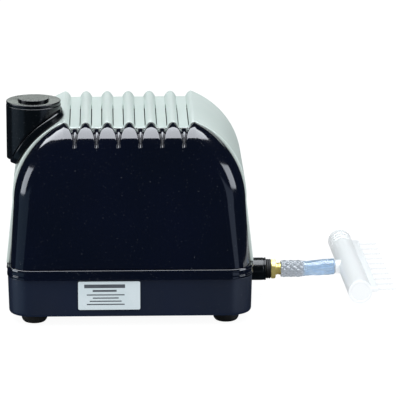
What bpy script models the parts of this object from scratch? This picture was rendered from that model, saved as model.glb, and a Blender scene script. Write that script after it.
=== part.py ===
"""Linear diaphragm air pump with a short outlet hose and a ten-way air manifold.

Metres, +Z up. In pump coordinates X runs along the armature (the outlet side is +X), the rating
label faces -Y, and the feet stand on Z = 0. Every shape is written in pump coordinates, and the
empty pump_frame then puts the bottom centre of the whole object at the world origin.
"""

import math

import bmesh
import bpy
from mathutils import Matrix, Vector

GAP = 0.0003  # clearance between pieces that touch

# Housing
SEAM_Y = 0.0705  # end caps begin here, on both sides of the middle shell
CAP_DEPTH = 0.0295
CAP_STRAIGHT = 0.0035  # depth of a cap before its edge starts to round
CAP_EDGE_TOP = 0.026  # edge rounding over the top
CAP_EDGE_FOOT = 0.018  # edge rounding at the foot of the sides
REAR_CAP_SINK = 0.0018  # the rear cap sits this much inside the shell
WALL = 0.003
COVER_FOOT_Z = 0.060
COVER_FOOT_HALF = 0.1212
SHOULDER_RADIUS = 0.090
SHOULDER_X = 0.0266
SHOULDER_Z = 0.124
RIDGE_PITCH = 0.0218
RIDGES_EACH_SIDE = 3
RIDGE_HEIGHT = 0.006
RIDGE_HALF_WIDTH = 0.006
RIDGE_POWER = 0.72
FLUTE_HALF_WIDTHS = (0.0095, 0.0024)  # at the seam, and where a flute has become narrow
FLUTE_BEGINS = math.radians(30)  # turn at which the shell's groove has become a flute
FLUTE_NARROW = math.radians(66)
FLUTE_FADE = (math.radians(48), math.radians(88))
SHELL_PROUD_WAIST = 0.0012  # how far the middle shell stands out past the caps
SHELL_PROUD_FOOT = 0.0038
SHELL_PROUD_SHOULDER = 0.0016
SHELL_PROUD_CREST = 0.0003
SLOT_WIDTH = 0.0010
SLOT_Y = (-0.0645, 0.0265)
SLOT_FROM_RIDGE = 0.0057

# Base, rim band and feet
BASE_HALF_X = 0.1235
BASE_HALF_Y = 0.0987
BASE_CORNER = 0.024
BASE_BOTTOM_Z = 0.0098
BASE_TOP_Z = 0.0488
BASE_EDGE = 0.004
BASE_DRAFT = 0.0010
RIM_HALF_X = 0.1224
RIM_HALF_Y = 0.1002
FOOT_X = 0.097
FOOT_Y = 0.075
FOOT_RADIUS = 0.0133
FOOT_FLAT_RADIUS = 0.0100
POST_X = 0.078
POST_Y = 0.060
POST_TOP_Z = 0.044
GLAND_X = -0.044
GLAND_Z = 0.030

# Intake filter on the left shoulder
FILTER_X = -0.0963
FILTER_Y = -0.037
FILTER_RADIUS = 0.0276
FILTER_WALL = 0.0023
FILTER_BOTTOM_Z = 0.162
FILTER_RIM_Z = 0.2206
FILTER_DISC_RADIUS = 0.0155
FILTER_DISC_RISE = 0.0022
SADDLE_ANGLE = math.radians(42.35)
SADDLE_HALF_LENGTH = 0.0384
SADDLE_HALF_WIDTH = 0.0315
SADDLE_LOW = 0.0016
SADDLE_HIGH = 0.0080
INTAKE_RADIUS = 0.012

# Outlet, hose and manifold
OUTLET_Y = 0.006
OUTLET_Z = 0.0300
SOCKET_X = (0.1000, 0.1237, 0.1410)
SOCKET_RADIUS = 0.0117
WASHER_X = (0.1413, 0.1461)
WASHER_RADIUS = 0.0101
HEX_X = (0.1464, 0.1512)
HEX_APOTHEM = 0.0092
NECK_END_X = 0.1562
BARB_END_X = 0.1780
HOSE_X = (0.1565, 0.2124)
HOSE_RISE = 0.0010
HOSE_SHIFT = 0.003
MANIFOLD_X = 0.2287
MANIFOLD_Y = 0.0115
MANIFOLD_TURN = math.radians(2.2)
MANIFOLD_HALF_LENGTH = 0.097
MANIFOLD_RADIUS = 0.0122
MANIFOLD_BORE = 0.0095
NOZZLES = 10
NOZZLE_PITCH = 0.0193
NOZZLE_TIP = 0.0373
NOZZLE_RADIUS = 0.002

# Drive unit
AXIS_Z = 0.115
FRAME_Z = (0.0586, 0.0616)
HEAD_X = (0.0766, 0.0890, 0.0920, 0.1000)
FRAME_WALL_X = (0.070, 0.073)
DIAPHRAGM_RADIUS = 0.036
CHAMBER_RADIUS = 0.029
COLLAR_RADIUS = 0.016
ROD_RADIUS = 0.004
PORT_OFFSET = 0.018  # valve ports lie this far below and above the armature axis
PORT_RADIUS = 0.004
FLAP_SIDE = 0.014
FLAP_THICKNESS = 0.001
FLAP_CORNER = 0.003
FRAME_HALF_X = 0.087
FRAME_HALF_Y = 0.069
FRAME_WALL_HALF_Y = 0.044
FRAME_WALL_RISE = 0.042  # height of the frame's walls above the armature axis
FRAME_WINDOW = 0.030
MOUNT_RADIUS = 0.008
STACK_HALF = 0.016  # half height of the cores' sheets
LEGS = ((-0.036, -0.024), (-0.008, 0.008), (0.024, 0.036))
CORE_FACE_Y = 0.019
CORE_ROOT_Y = 0.040
CORE_BACK_Y = 0.052
COIL_Y = (0.0215, 0.0395)
COIL_HOLE = (0.0083, 0.0163, 0.0005)  # half width, half height and corner of the winding's hole
COIL_RIM = (0.0225, 0.0300, 0.0080)
CARRIER_HALF = (0.032, 0.005, 0.014)
WINDOW_HALF = (0.0105, 0.007, 0.0110)
MAGNET_HALF = (0.0102, 0.0048, 0.0107)
MAGNET_X = 0.016
ROD_X = (0.0300, 0.0845)
CLAMP_X = (0.0766, 0.0788)
NUT_X = (0.0791, 0.0835)
NUT_RADIUS = 0.0070
NUT_SEGMENTS = 12
HEAD_HALF = 0.038
POCKET_HALF_Y = 0.028
POCKETS_Z = ((-0.031, -0.003), (0.003, 0.031))  # lower and upper pocket, from the axis
HEAD_PORT_X = 0.096
DUCT_PORT_RADIUS = 0.0033
HEAD_COVER = 0.003

# Air tank in the base, and the ducts down to it
TANK_LOW = (-0.066, -0.048, 0.0145)
TANK_HIGH = (0.066, 0.048, 0.040)
TANK_WALL = 0.0025
TANK_LID = 0.003
STUB_Y = 0.030
STUB_Z = 0.028
STUB_END_X = 0.074
STUB_RADII = (0.005, 0.0032)
SPOUT_RADII = (0.007, 0.0045)
DUCT_Y = 0.052
DUCT_LOW_Z = 0.048
DUCT_RADII = (0.0052, 0.0034)

SIDES = {"left": -1, "right": 1}

FINISHES = {
    "navy_gloss": ((0.006, 0.010, 0.030), 0.12, 0.0),
    "navy_satin": ((0.012, 0.017, 0.034), 0.38, 0.0),
    "shell_plastic": ((0.62, 0.68, 0.66), 0.45, 0.0),
    "black_plastic": ((0.008, 0.009, 0.012), 0.25, 0.0),
    "black_rubber": ((0.012, 0.012, 0.012), 0.75, 0.0),
    "label_film": ((0.80, 0.84, 0.84), 0.50, 0.0),
    "brass": ((0.62, 0.55, 0.24), 0.30, 1.0),
    "clear_hose": ((0.38, 0.55, 0.84), 0.12, 0.0),
    "white_plastic": ((0.85, 0.86, 0.86), 0.35, 0.0),
    "foam": ((0.05, 0.05, 0.06), 0.95, 0.0),
    "steel": ((0.55, 0.55, 0.56), 0.35, 1.0),
    "aluminium": ((0.72, 0.72, 0.73), 0.40, 1.0),
    "laminated_iron": ((0.18, 0.18, 0.19), 0.50, 1.0),
    "copper_winding": ((0.50, 0.20, 0.08), 0.35, 1.0),
    "magnet": ((0.10, 0.10, 0.11), 0.40, 1.0),
    "diaphragm_rubber": ((0.03, 0.03, 0.03), 0.65, 0.0),
    "tank_plastic": ((0.05, 0.05, 0.055), 0.50, 0.0),
}


def clear_scene():
    for thing in list(bpy.data.objects):
        bpy.data.objects.remove(thing, do_unlink=True)


def make_material(name):
    colour, roughness, metallic = FINISHES[name]
    material = bpy.data.materials.new(name)
    material.use_nodes = True
    shader = material.node_tree.nodes["Principled BSDF"]
    shader.inputs["Base Color"].default_value = (*colour, 1.0)
    shader.inputs["Roughness"].default_value = roughness
    shader.inputs["Metallic"].default_value = metallic
    material.diffuse_color = (*colour, 1.0)
    return material


def make_empty(name, parent=None, location=(0, 0, 0), turn_z=0.0):
    empty = bpy.data.objects.new(name, None)
    empty.location = location
    empty.rotation_euler.z = turn_z
    empty.parent = parent
    bpy.context.scene.collection.objects.link(empty)
    return empty


def add_piece(name, shape, finish, parent, origin=(0, 0, 0)):
    """Makes the bmesh `shape` an object whose own origin is `origin`, in its parent's coordinates."""
    bmesh.ops.translate(shape, verts=shape.verts, vec=-Vector(origin))
    mesh = bpy.data.meshes.new(name)
    shape.to_mesh(mesh)
    shape.free()
    mesh.shade_smooth()
    mesh.set_sharp_from_angle(angle=math.radians(35))
    mesh.materials.append(bpy.data.materials.get(finish) or make_material(finish))
    piece = bpy.data.objects.new(name, mesh)
    piece.location = origin
    piece.parent = parent
    bpy.context.scene.collection.objects.link(piece)
    return piece


def boolean(piece, shape, operation):
    """Adds or cuts away `shape`, kept as a hidden helper with the piece's parent."""
    name = f"{piece.name}_{operation.lower()}_{len(piece.modifiers)}"
    mesh = bpy.data.meshes.new(name)
    shape.to_mesh(mesh)
    shape.free()
    helper = bpy.data.objects.new(name, mesh)
    helper.hide_render = True
    helper.display_type = "WIRE"
    helper.parent = piece.parent
    bpy.context.scene.collection.objects.link(helper)
    modifier = piece.modifiers.new(operation.title(), "BOOLEAN")
    modifier.operation = operation
    modifier.solver = "EXACT"
    modifier.object = helper


def loft(rings, wrap=False):
    """Skins closed rings of equally many points; joins the last ring to the first, or caps both ends."""
    shape = bmesh.new()
    rows = [[shape.verts.new(point) for point in ring] for ring in rings]
    pairs = list(zip(rows, rows[1:]))
    if wrap:
        pairs.append((rows[-1], rows[0]))
    else:
        shape.faces.new(rows[0])
        shape.faces.new(rows[-1])
    for first, second in pairs:
        for i, corner in enumerate(first):
            before = i - 1
            shape.faces.new((first[before], corner, second[i], second[before]))
    bmesh.ops.recalc_face_normals(shape, faces=shape.faces)
    return shape


def along(axis, distance, side, up):
    """A point `distance` along the named axis, with `side` and `up` across it."""
    return {
        "X": Vector((distance, side, up)),
        "Y": Vector((side, distance, up)),
        "Z": Vector((side, up, distance)),
    }[axis]


def turned(profile, centre, axis="Z", segments=16, bored=False):
    """Turns (radius, distance) points round an axis through `centre`. A bored profile is a closed loop."""
    angles = [2 * math.pi * i / segments for i in range(segments)]
    rings = [
        [Vector(centre) + along(axis, distance, radius * math.cos(a), radius * math.sin(a)) for a in angles]
        for radius, distance in profile
    ]
    return loft(rings, wrap=bored)


def rod(radius, centre, axis, low, high, segments=16):
    return turned([(radius, low), (radius, high)], centre, axis, segments)


def prism(outline, axis, low, high):
    """Extrudes an outline of (side, up) points along an axis."""
    return loft([[along(axis, level, side, up) for side, up in outline] for level in (low, high)])


def box(low, high):
    corners = [(low[0], low[1]), (high[0], low[1]), (high[0], high[1]), (low[0], high[1])]
    return prism(corners, "Z", low[2], high[2])


def together(shapes):
    """Puts separate shapes that don't touch into one mesh."""
    whole = bmesh.new()
    for shape in shapes:
        mesh = bpy.data.meshes.new("joined")
        shape.to_mesh(mesh)
        shape.free()
        whole.from_mesh(mesh)
        bpy.data.meshes.remove(mesh)
    return whole


def span(side, low, high):
    """Two distances from the middle, on the left (-1) or the right (1), in rising order."""
    return sorted((side * low, side * high))


def rounded_rectangle(half_x, half_y, radius, steps=4):
    points = []
    for quarter, (sx, sy) in enumerate(((1, 1), (-1, 1), (-1, -1), (1, -1))):
        for step in range(steps + 1):
            angle = math.pi / 2 * (quarter + step / steps)
            x = sx * (half_x - radius) + radius * math.cos(angle)
            y = sy * (half_y - radius) + radius * math.sin(angle)
            points.append((x, y))
    return points


def four_corners(x, y):
    """Names and places of four pieces, one near each corner of the base."""
    return [
        ("front_left", -x, -y),
        ("front_right", x, -y),
        ("rear_left", -x, y),
        ("rear_right", x, y),
    ]


# --- Housing -------------------------------------------------------------------------------------


class OutlinePoint:
    """A point of the cover outline, seen from the front, with what the loft over the cap needs."""

    def __init__(self, x, z, inward, groove=0.0, off_flute=1.0, edge=CAP_EDGE_TOP, ridged=False, proud=0.0):
        self.place = Vector((x, z))
        self.inward = Vector(inward)
        self.groove = groove
        self.off_flute = off_flute
        self.edge = edge
        self.ridged = ridged
        self.proud = proud

    def mirrored(self):
        x, z = self.place
        inward = (-self.inward.x, self.inward.y)
        return OutlinePoint(-x, z, inward, self.groove, self.off_flute, self.edge, self.ridged, self.proud)


def crest_angle():
    return math.acos((RIDGES_EACH_SIDE * RIDGE_PITCH - SHOULDER_X) / SHOULDER_RADIUS)


def crest_z():
    return SHOULDER_Z + SHOULDER_RADIUS * math.sin(crest_angle())


def shoulder_proud(angle):
    """How far the shell stands out past the caps on the shoulder, at an angle above the horizontal."""
    share = min(angle / crest_angle(), 1.0)
    swell = SHELL_PROUD_SHOULDER * math.sin(math.pi * share)
    return SHELL_PROUD_WAIST + swell + (SHELL_PROUD_CREST - SHELL_PROUD_WAIST) * share


def ridge_rise(offset):
    """Height of a ridge above the groove: its height times cos(90 deg x share of half width) ^ power."""
    share = min(abs(offset) / RIDGE_HALF_WIDTH, 1.0)
    return RIDGE_HEIGHT * math.cos(math.pi / 2 * share) ** RIDGE_POWER if share < 1 else 0.0


def right_flank(side_steps=3, arc_steps=8):
    """The outline's right side, from its foot up to the crest of the outermost ridge."""
    points = []
    for step in range(side_steps):
        share = step / side_steps
        x = COVER_FOOT_HALF + (SHOULDER_X + SHOULDER_RADIUS - COVER_FOOT_HALF) * share
        z = COVER_FOOT_Z + (SHOULDER_Z - COVER_FOOT_Z) * share
        proud = SHELL_PROUD_FOOT + (SHELL_PROUD_WAIST - SHELL_PROUD_FOOT) * share
        edge = CAP_EDGE_FOOT + (CAP_EDGE_TOP - CAP_EDGE_FOOT) * share / 2
        points.append(OutlinePoint(x, z, (-1, 0), edge=edge, proud=proud))
    for step in range(arc_steps + 1):
        share = step / arc_steps
        angle = crest_angle() * share
        x = SHOULDER_X + SHOULDER_RADIUS * math.cos(angle)
        z = SHOULDER_Z + SHOULDER_RADIUS * math.sin(angle)
        inward = (-math.cos(math.pi / 2 * share), -math.sin(math.pi / 2 * share))
        edge = (CAP_EDGE_FOOT + CAP_EDGE_TOP) / 2 + (CAP_EDGE_TOP - CAP_EDGE_FOOT) * share / 2
        points.append(OutlinePoint(x, z, inward, edge=edge, proud=shoulder_proud(angle)))
    return points


def ridged_top():
    """The ridges and grooves between the two outermost crests, from right to left."""
    half = [RIDGE_HALF_WIDTH * share for share in (0.0, 0.4, 0.77, 1.0)]
    half += [RIDGE_PITCH / 2 - from_middle for from_middle in (0.0033, 0.0017, 0.0)]
    offsets = half[::-1] + [-offset for offset in half[1:-1]]
    points = []
    for ridge in range(RIDGES_EACH_SIDE, -RIDGES_EACH_SIDE - 1, -1):
        for offset in offsets:
            x = ridge * RIDGE_PITCH + offset
            if abs(x) >= RIDGES_EACH_SIDE * RIDGE_PITCH:
                continue
            point = OutlinePoint(x, crest_z(), (0, -1), ridged=True, proud=SHELL_PROUD_CREST)
            point.groove = RIDGE_HEIGHT - ridge_rise(offset)
            point.off_flute = RIDGE_PITCH / 2 - abs(offset)
            points.append(point)
    return points


def cover_outline():
    flank = right_flank()
    return flank + ridged_top() + [point.mirrored() for point in reversed(flank)]


def smooth_share(value, start, end):
    """Smooth from 0 at `start` to 1 at `end`."""
    share = min(max((value - start) / (end - start), 0.0), 1.0)
    return share * share * (3 - 2 * share)


def flute_depth(point, turn):
    """Ridge height times cos(90 deg x share of the flute's half width) ^ 2. The half width shrinks."""
    wide, narrow = FLUTE_HALF_WIDTHS
    half_width = wide + (narrow - wide) * smooth_share(turn, 0.0, FLUTE_NARROW)
    return RIDGE_HEIGHT * math.cos(math.pi / 2 * min(point.off_flute / half_width, 1.0)) ** 2


def cap_groove(point, turn, side):
    """Depth at `turn` round the cap's edge. In front, the shell's groove becomes a flute. Both fade out."""
    groove = point.groove
    if side < 0:
        groove += (flute_depth(point, turn) - groove) * smooth_share(turn, 0.0, FLUTE_BEGINS)
    return groove * (1 - smooth_share(turn, *FLUTE_FADE))


def sunk_outline(side):
    """The cover outline, with every point moved inwards for the rear cap."""
    outline = cover_outline()
    if side > 0:
        for point in outline:
            point.place += point.inward * REAR_CAP_SINK
    return outline


def cap_outside(point, turn, side):
    """The cap's outer surface: a quarter ellipse from the seam to the face, grooves sunk square to it."""
    groove = cap_groove(point, turn, side)
    inset = point.edge * (1 - math.cos(turn)) + groove * math.cos(turn)
    depth = SEAM_Y + CAP_STRAIGHT + (CAP_DEPTH - CAP_STRAIGHT - groove) * math.sin(turn)
    place = point.place + point.inward * inset
    return Vector((place.x, side * depth, place.y))


def cap_inside(point, turn, side):
    inset = WALL + RIDGE_HEIGHT * point.ridged + (point.edge - WALL) * (1 - math.cos(turn))
    depth = SEAM_Y + (CAP_DEPTH - WALL) * math.sin(turn)
    place = point.place + point.inward * inset
    return Vector((place.x, side * depth, place.y))


def cap_shape(side):
    """One closed thin wall: outer sheet, inner sheet, and the rims at the seam and at the foot."""
    outline = sunk_outline(side)
    shape = bmesh.new()
    seam_line = [Vector((p.place.x, side * SEAM_Y, p.place.y)) + lowered(p) for p in outline]
    seam = [[shape.verts.new(place) for place in seam_line]]
    turns = [math.radians(turn) for turn in (0, 14, 27, 45, 62, 76, 90)]
    outer = seam + [[shape.verts.new(cap_outside(p, turn, side)) for p in outline] for turn in turns]
    inner = [
        [shape.verts.new(cap_inside(p, math.radians(turn), side)) for p in outline] for turn in (0, 45, 90)
    ]
    for rows in (outer, inner):
        for first, second in zip(rows, rows[1:]):
            for i in range(1, len(outline)):
                shape.faces.new((first[i - 1], first[i], second[i], second[i - 1]))
        shape.faces.new(rows[-1])
    for i in range(1, len(outline)):
        shape.faces.new((outer[0][i - 1], outer[0][i], inner[0][i], inner[0][i - 1]))
    outer_foot = [row[0] for row in outer] + [row[-1] for row in reversed(outer)]
    inner_foot = [row[-1] for row in inner] + [row[0] for row in reversed(inner)]
    shape.faces.new(outer_foot + inner_foot)
    bmesh.ops.recalc_face_normals(shape, faces=shape.faces)
    return shape


def lowered(point):
    """The groove's depth as a drop from the ridge line."""
    return Vector((point.inward.x, 0, point.inward.y)) * point.groove


def shell_shape():
    """The middle shell: the outline, standing out by its own amount, extruded between the seams."""
    outline = cover_outline()
    outside = [p.place + p.inward * (p.groove - p.proud) for p in outline]
    inside = [p.place + p.inward * (WALL + RIDGE_HEIGHT * p.ridged - p.proud) for p in outline]
    loop = [(place.x, place.y) for place in outside + inside[::-1]]
    return prism(loop, "Y", -SEAM_Y + GAP, SEAM_Y - GAP)


def vent_slots():
    """A narrow slot along the foot of each ridge flank, two to a groove."""
    slots = []
    for groove in range(-RIDGES_EACH_SIDE, RIDGES_EACH_SIDE):
        for ridge, side in ((groove, 1), (groove + 1, -1)):
            x = ridge * RIDGE_PITCH + side * SLOT_FROM_RIDGE
            low = (x - SLOT_WIDTH / 2, SLOT_Y[0], crest_z() - 0.015)
            high = (x + SLOT_WIDTH / 2, SLOT_Y[1], crest_z() + 0.001)
            slots.append(box(low, high))
    return together(slots)


def shoulder_place(angle, lift):
    """A point on the left shoulder, `lift` above the shell, as (x, z)."""
    radius = SHOULDER_RADIUS + shoulder_proud(angle) + lift
    return (-SHOULDER_X - radius * math.cos(angle), SHOULDER_Z + radius * math.sin(angle))


def intake_bore():
    """A cylinder square to the left shoulder, under the filter."""
    x, z = shoulder_place(SADDLE_ANGLE, 0)
    shape = rod(INTAKE_RADIUS - 0.001, (0, 0, 0), "X", -0.012, 0.012)
    bmesh.ops.rotate(shape, verts=shape.verts, cent=(0, 0, 0), matrix=Matrix.Rotation(SADDLE_ANGLE, 3, "Y"))
    bmesh.ops.translate(shape, verts=shape.verts, vec=(x, FILTER_Y, z))
    return shape


def build_covers(pump):
    shell = add_piece("cover_shell", shell_shape(), "shell_plastic", pump)
    boolean(shell, vent_slots(), "DIFFERENCE")
    boolean(shell, intake_bore(), "DIFFERENCE")
    add_piece("end_cap_front", cap_shape(-1), "navy_gloss", pump)
    add_piece("end_cap_rear", cap_shape(1), "navy_gloss", pump)


# --- Base ----------------------------------------------------------------------------------------


def base_ring(inset, z, corner=BASE_CORNER):
    outline = rounded_rectangle(BASE_HALF_X - inset, BASE_HALF_Y - inset, corner - inset)
    return [Vector((x, y, z)) for x, y in outline]


def build_base(pump):
    low = BASE_DRAFT + BASE_EDGE
    rings = [
        base_ring(low, BASE_BOTTOM_Z),
        base_ring(BASE_DRAFT + 0.29 * BASE_EDGE, BASE_BOTTOM_Z + 0.29 * BASE_EDGE),
        base_ring(BASE_DRAFT, BASE_BOTTOM_Z + BASE_EDGE),
        base_ring(0, BASE_TOP_Z),
        base_ring(WALL, BASE_TOP_Z),
        base_ring(BASE_DRAFT + WALL + 0.001, BASE_BOTTOM_Z + WALL),
    ]
    tray = add_piece("base_tray", loft(rings), "navy_satin", pump)
    floor = BASE_BOTTOM_Z + WALL / 2
    bosses = [rod(0.006, (x, y, 0), "Z", floor, 0.034, 12) for _, x, y in four_corners(FOOT_X, FOOT_Y)]
    posts = [rod(0.007, (x, y, 0), "Z", floor, POST_TOP_Z, 12) for _, x, y in four_corners(POST_X, POST_Y)]
    boolean(tray, together(bosses + posts), "UNION")
    holes = [rod(0.0026, (x, y, 0), "Z", 0.005, 0.032, 12) for _, x, y in four_corners(FOOT_X, FOOT_Y)]
    holes.append(rod(0.009, (0, OUTLET_Y, OUTLET_Z), "X", 0.110, 0.130, 20))
    holes.append(rod(0.008, (GLAND_X, 0, GLAND_Z), "Y", 0.090, 0.110, 20))
    boolean(tray, together(holes), "DIFFERENCE")


def build_rim(pump):
    """A rounded band between base and covers; the profile is (stand-out, height) round its outline."""
    low = BASE_TOP_Z + GAP
    high = COVER_FOOT_Z - GAP
    profile = [
        (-0.0040, low),
        (0.0004, low),
        (0.0018, low + 0.0012),
        (0.0022, low + 0.0050),
        (0.0016, high - 0.0026),
        (0.0002, high - 0.0004),
        (-0.0010, high),
        (-0.0040, high),
    ]
    rings = []
    for out, z in profile:
        outline = rounded_rectangle(RIM_HALF_X + out, RIM_HALF_Y + out, BASE_CORNER + out)
        rings.append([Vector((x, y, z)) for x, y in outline])
    add_piece("rim_band", loft(rings, wrap=True), "navy_gloss", pump)


def build_feet(pump):
    top = BASE_BOTTOM_Z - GAP
    foot = [
        (FOOT_FLAT_RADIUS, 0.0),
        (FOOT_RADIUS - 0.0014, 0.0016),
        (FOOT_RADIUS - 0.0004, 0.0036),
        (FOOT_RADIUS, 0.0058),
        (FOOT_RADIUS - 0.0003, top),
        (0.0026, top),
        (0.0026, 0.006),
        (0.0056, 0.006),
        (0.0056, 0.0),
    ]
    screw = [(0.0046, 0.0022), (0.0046, 0.0057), (0.0022, 0.0057), (0.0022, 0.030)]
    for name, x, y in four_corners(FOOT_X, FOOT_Y):
        add_piece(f"foot_{name}", turned(foot, (x, y, 0), bored=True), "black_rubber", pump)
        add_piece(f"foot_screw_{name}", turned(screw, (x, y, 0), segments=10), "steel", pump)


def build_label(pump):
    outline = [(x - 0.0213, z + 0.0328) for x, z in rounded_rectangle(0.0312, 0.01475, 0.0015, 2)]
    back = -BASE_HALF_Y - GAP
    add_piece("rating_label", prism(outline, "Y", back - 0.0006, back), "label_film", pump)


def build_gland(pump):
    """The cord's entry: a bored, tapered gland through the rear wall of the base."""
    wall = BASE_HALF_Y
    profile = [
        (0.0036, 0.088),
        (0.0076, 0.088),
        (0.0076, wall + GAP),
        (0.0110, wall + GAP),
        (0.0110, wall + 0.003),
        (0.0080, wall + 0.005),
        (0.0058, wall + 0.012),
        (0.0036, wall + 0.012),
    ]
    centre = (GLAND_X, 0, GLAND_Z)
    add_piece("cable_gland", turned(profile, centre, "Y", 16, bored=True), "black_rubber", pump)
    block = box((-0.060, 0.064, BASE_BOTTOM_Z + WALL + GAP), (-0.028, 0.080, 0.030))
    add_piece("terminal_block", block, "white_plastic", pump)


# --- Intake filter -------------------------------------------------------------------------------


def saddle_ring(size, lift, points=24):
    """A superellipse wrapped on the left shoulder; size 1 is the saddle's edge and 0 the intake hole."""
    ring = []
    for i in range(points):
        angle = 2 * math.pi * i / points
        c, s = math.cos(angle), math.sin(angle)
        along_slope = SADDLE_HALF_LENGTH * math.copysign(abs(c) ** 0.77, c)
        across = SADDLE_HALF_WIDTH * math.copysign(abs(s) ** 0.77, s)
        along_slope = along_slope * size + INTAKE_RADIUS * c * (1 - size)
        across = across * size + INTAKE_RADIUS * s * (1 - size)
        x, z = shoulder_place(SADDLE_ANGLE + along_slope / (SHOULDER_RADIUS + SADDLE_HIGH), lift)
        ring.append(Vector((x, FILTER_Y + across, z)))
    return ring


def above_saddle(lift):
    """A block filling everything under a surface `lift` above the left shoulder."""
    angles = [math.radians(angle) for angle in range(0, 81, 4)]
    outline = [shoulder_place(angle, lift) for angle in angles]
    outline += [(-SHOULDER_X + 0.010, SHOULDER_Z + 0.080), (-SHOULDER_X, SHOULDER_Z)]
    return prism(outline, "Y", FILTER_Y - 0.040, FILTER_Y + 0.040)


def build_filter(pump):
    gasket = [saddle_ring(size, lift) for size, lift in ((0.97, GAP), (0.97, 0.0013), (0.5, 0.0013))]
    gasket += [saddle_ring(size, lift) for size, lift in ((0.04, 0.0013), (0.04, GAP), (0.5, GAP))]
    add_piece("saddle_gasket", loft(gasket, wrap=True), "black_rubber", pump)
    saddle = [
        saddle_ring(1.0, SADDLE_LOW),
        saddle_ring(1.0, SADDLE_HIGH - 0.0022),
        saddle_ring(0.97, SADDLE_HIGH - 0.0005),
        saddle_ring(0.90, SADDLE_HIGH),
        saddle_ring(0.45, SADDLE_HIGH),
        saddle_ring(0.0, SADDLE_HIGH),
        saddle_ring(0.0, SADDLE_LOW),
        saddle_ring(0.5, SADDLE_LOW),
    ]
    add_piece("filter_saddle", loft(saddle, wrap=True), "black_plastic", pump)
    axis = (FILTER_X, FILTER_Y, 0)
    ceiling = FILTER_RIM_Z - 0.0026
    bore = FILTER_RADIUS - FILTER_WALL
    foam = add_piece(
        "filter_foam", rod(bore - 0.0015, axis, "Z", 0.165, ceiling - 0.001, 20), "foam", pump
    )
    boolean(foam, above_saddle(SADDLE_HIGH + 2 * GAP), "DIFFERENCE")
    cap = [
        (bore, ceiling),
        (bore, FILTER_BOTTOM_Z),
        (FILTER_RADIUS, FILTER_BOTTOM_Z),
        (FILTER_RADIUS, FILTER_RIM_Z - 0.0020),
        (FILTER_RADIUS - 0.0007, FILTER_RIM_Z - 0.0005),
        (FILTER_RADIUS - 0.0022, FILTER_RIM_Z),
        (FILTER_DISC_RADIUS + 0.0003, FILTER_RIM_Z),
        (FILTER_DISC_RADIUS, FILTER_RIM_Z + FILTER_DISC_RISE),
    ]
    cover = add_piece("filter_cap", turned(cap, axis, segments=28), "black_plastic", pump)
    boolean(cover, above_saddle(SADDLE_HIGH + GAP), "DIFFERENCE")


# --- Outlet, hose and manifold -------------------------------------------------------------------


def build_outlet(pump):
    centre = (0, OUTLET_Y, OUTLET_Z)
    inner, shoulder, outer = SOCKET_X
    socket = [
        (0.0060, inner),
        (0.0086, inner),
        (0.0086, shoulder),
        (SOCKET_RADIUS, shoulder),
        (SOCKET_RADIUS, outer - 0.0006),
        (SOCKET_RADIUS - 0.0006, outer),
        (0.0060, outer),
    ]
    add_piece("outlet_socket", turned(socket, centre, "X", 20, bored=True), "black_plastic", pump)
    near, far = WASHER_X
    washer = [
        (0.0070, near),
        (WASHER_RADIUS - 0.0012, near),
        (WASHER_RADIUS, near + 0.0014),
        (WASHER_RADIUS, far - 0.0014),
        (WASHER_RADIUS - 0.0012, far),
        (0.0070, far),
    ]
    add_piece("outlet_washer", turned(washer, centre, "X", 20, bored=True), "black_rubber", pump)
    add_piece("hose_tail", hose_tail_shape(), "brass", pump)


def hose_tail_shape():
    """Threaded shank, hexagon, neck and barbs, bored right through."""
    segments = 24
    barbs = 3
    barb_pitch = (BARB_END_X - NECK_END_X) / barbs
    profile = [(0.0035, 0.1250), (0.0055, 0.1250), (0.0055, HEX_X[0])]
    profile += [("hexagon", HEX_X[0]), ("hexagon", HEX_X[1]), (0.0062, HEX_X[1]), (0.0062, NECK_END_X)]
    for barb in range(barbs):
        start = NECK_END_X + barb * barb_pitch
        profile += [(0.0066, start + 0.0004), (0.0057, start + barb_pitch - 0.0003)]
    profile += [(0.0035, BARB_END_X)]
    rings = []
    for radius, distance in profile:
        ring = []
        for i in range(segments):
            angle = 2 * math.pi * i / segments
            off_corner = angle % (math.pi / 3) - math.pi / 6
            reach = HEX_APOTHEM / math.cos(math.pi / 6 - abs(off_corner)) if radius == "hexagon" else radius
            y = OUTLET_Y + reach * math.cos(angle)
            ring.append(Vector((distance, y, OUTLET_Z + reach * math.sin(angle))))
        rings.append(ring)
    return loft(rings, wrap=True)


def hose_centre(x):
    """The hose runs straight over the barb, then eases up and back to the manifold's inlet."""
    share = min(max((x - BARB_END_X) / (HOSE_X[1] - BARB_END_X), 0.0), 1.0)
    ease = share * share * (3 - 2 * share)
    return OUTLET_Y + HOSE_SHIFT * ease, OUTLET_Z + HOSE_RISE * ease


def hose_radius(x):
    """Outer radius: stretched over the barb, slack just past it, full again at the manifold."""
    stretched, slack, full = 0.0089, 0.0077, 0.0085
    start, end = 0.1765, 0.1835
    if x < start:
        return stretched
    if x < end:
        return stretched + (slack - stretched) * (x - start) / (end - start)
    return slack + (full - slack) * min((x - end) / 0.016, 1.0)


def build_hose(pump):
    stations = [HOSE_X[0], 0.1660, 0.1765, 0.1835, 0.1900, 0.1990, 0.2060, HOSE_X[1]]
    wall = 0.0019
    segments = 16
    rings = []
    for inset, order in ((0.0, stations), (wall, reversed(stations))):
        for x in order:
            y, z = hose_centre(x)
            radius = hose_radius(x) - inset
            angles = [2 * math.pi * i / segments for i in range(segments)]
            rings.append([Vector((x, y + radius * math.cos(a), z + radius * math.sin(a))) for a in angles])
    add_piece("outlet_hose", loft(rings, wrap=True), "clear_hose", pump)


def nozzle_places():
    first = -NOZZLE_PITCH * (NOZZLES - 1) / 2
    return [first + NOZZLE_PITCH * i for i in range(NOZZLES)]


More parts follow.
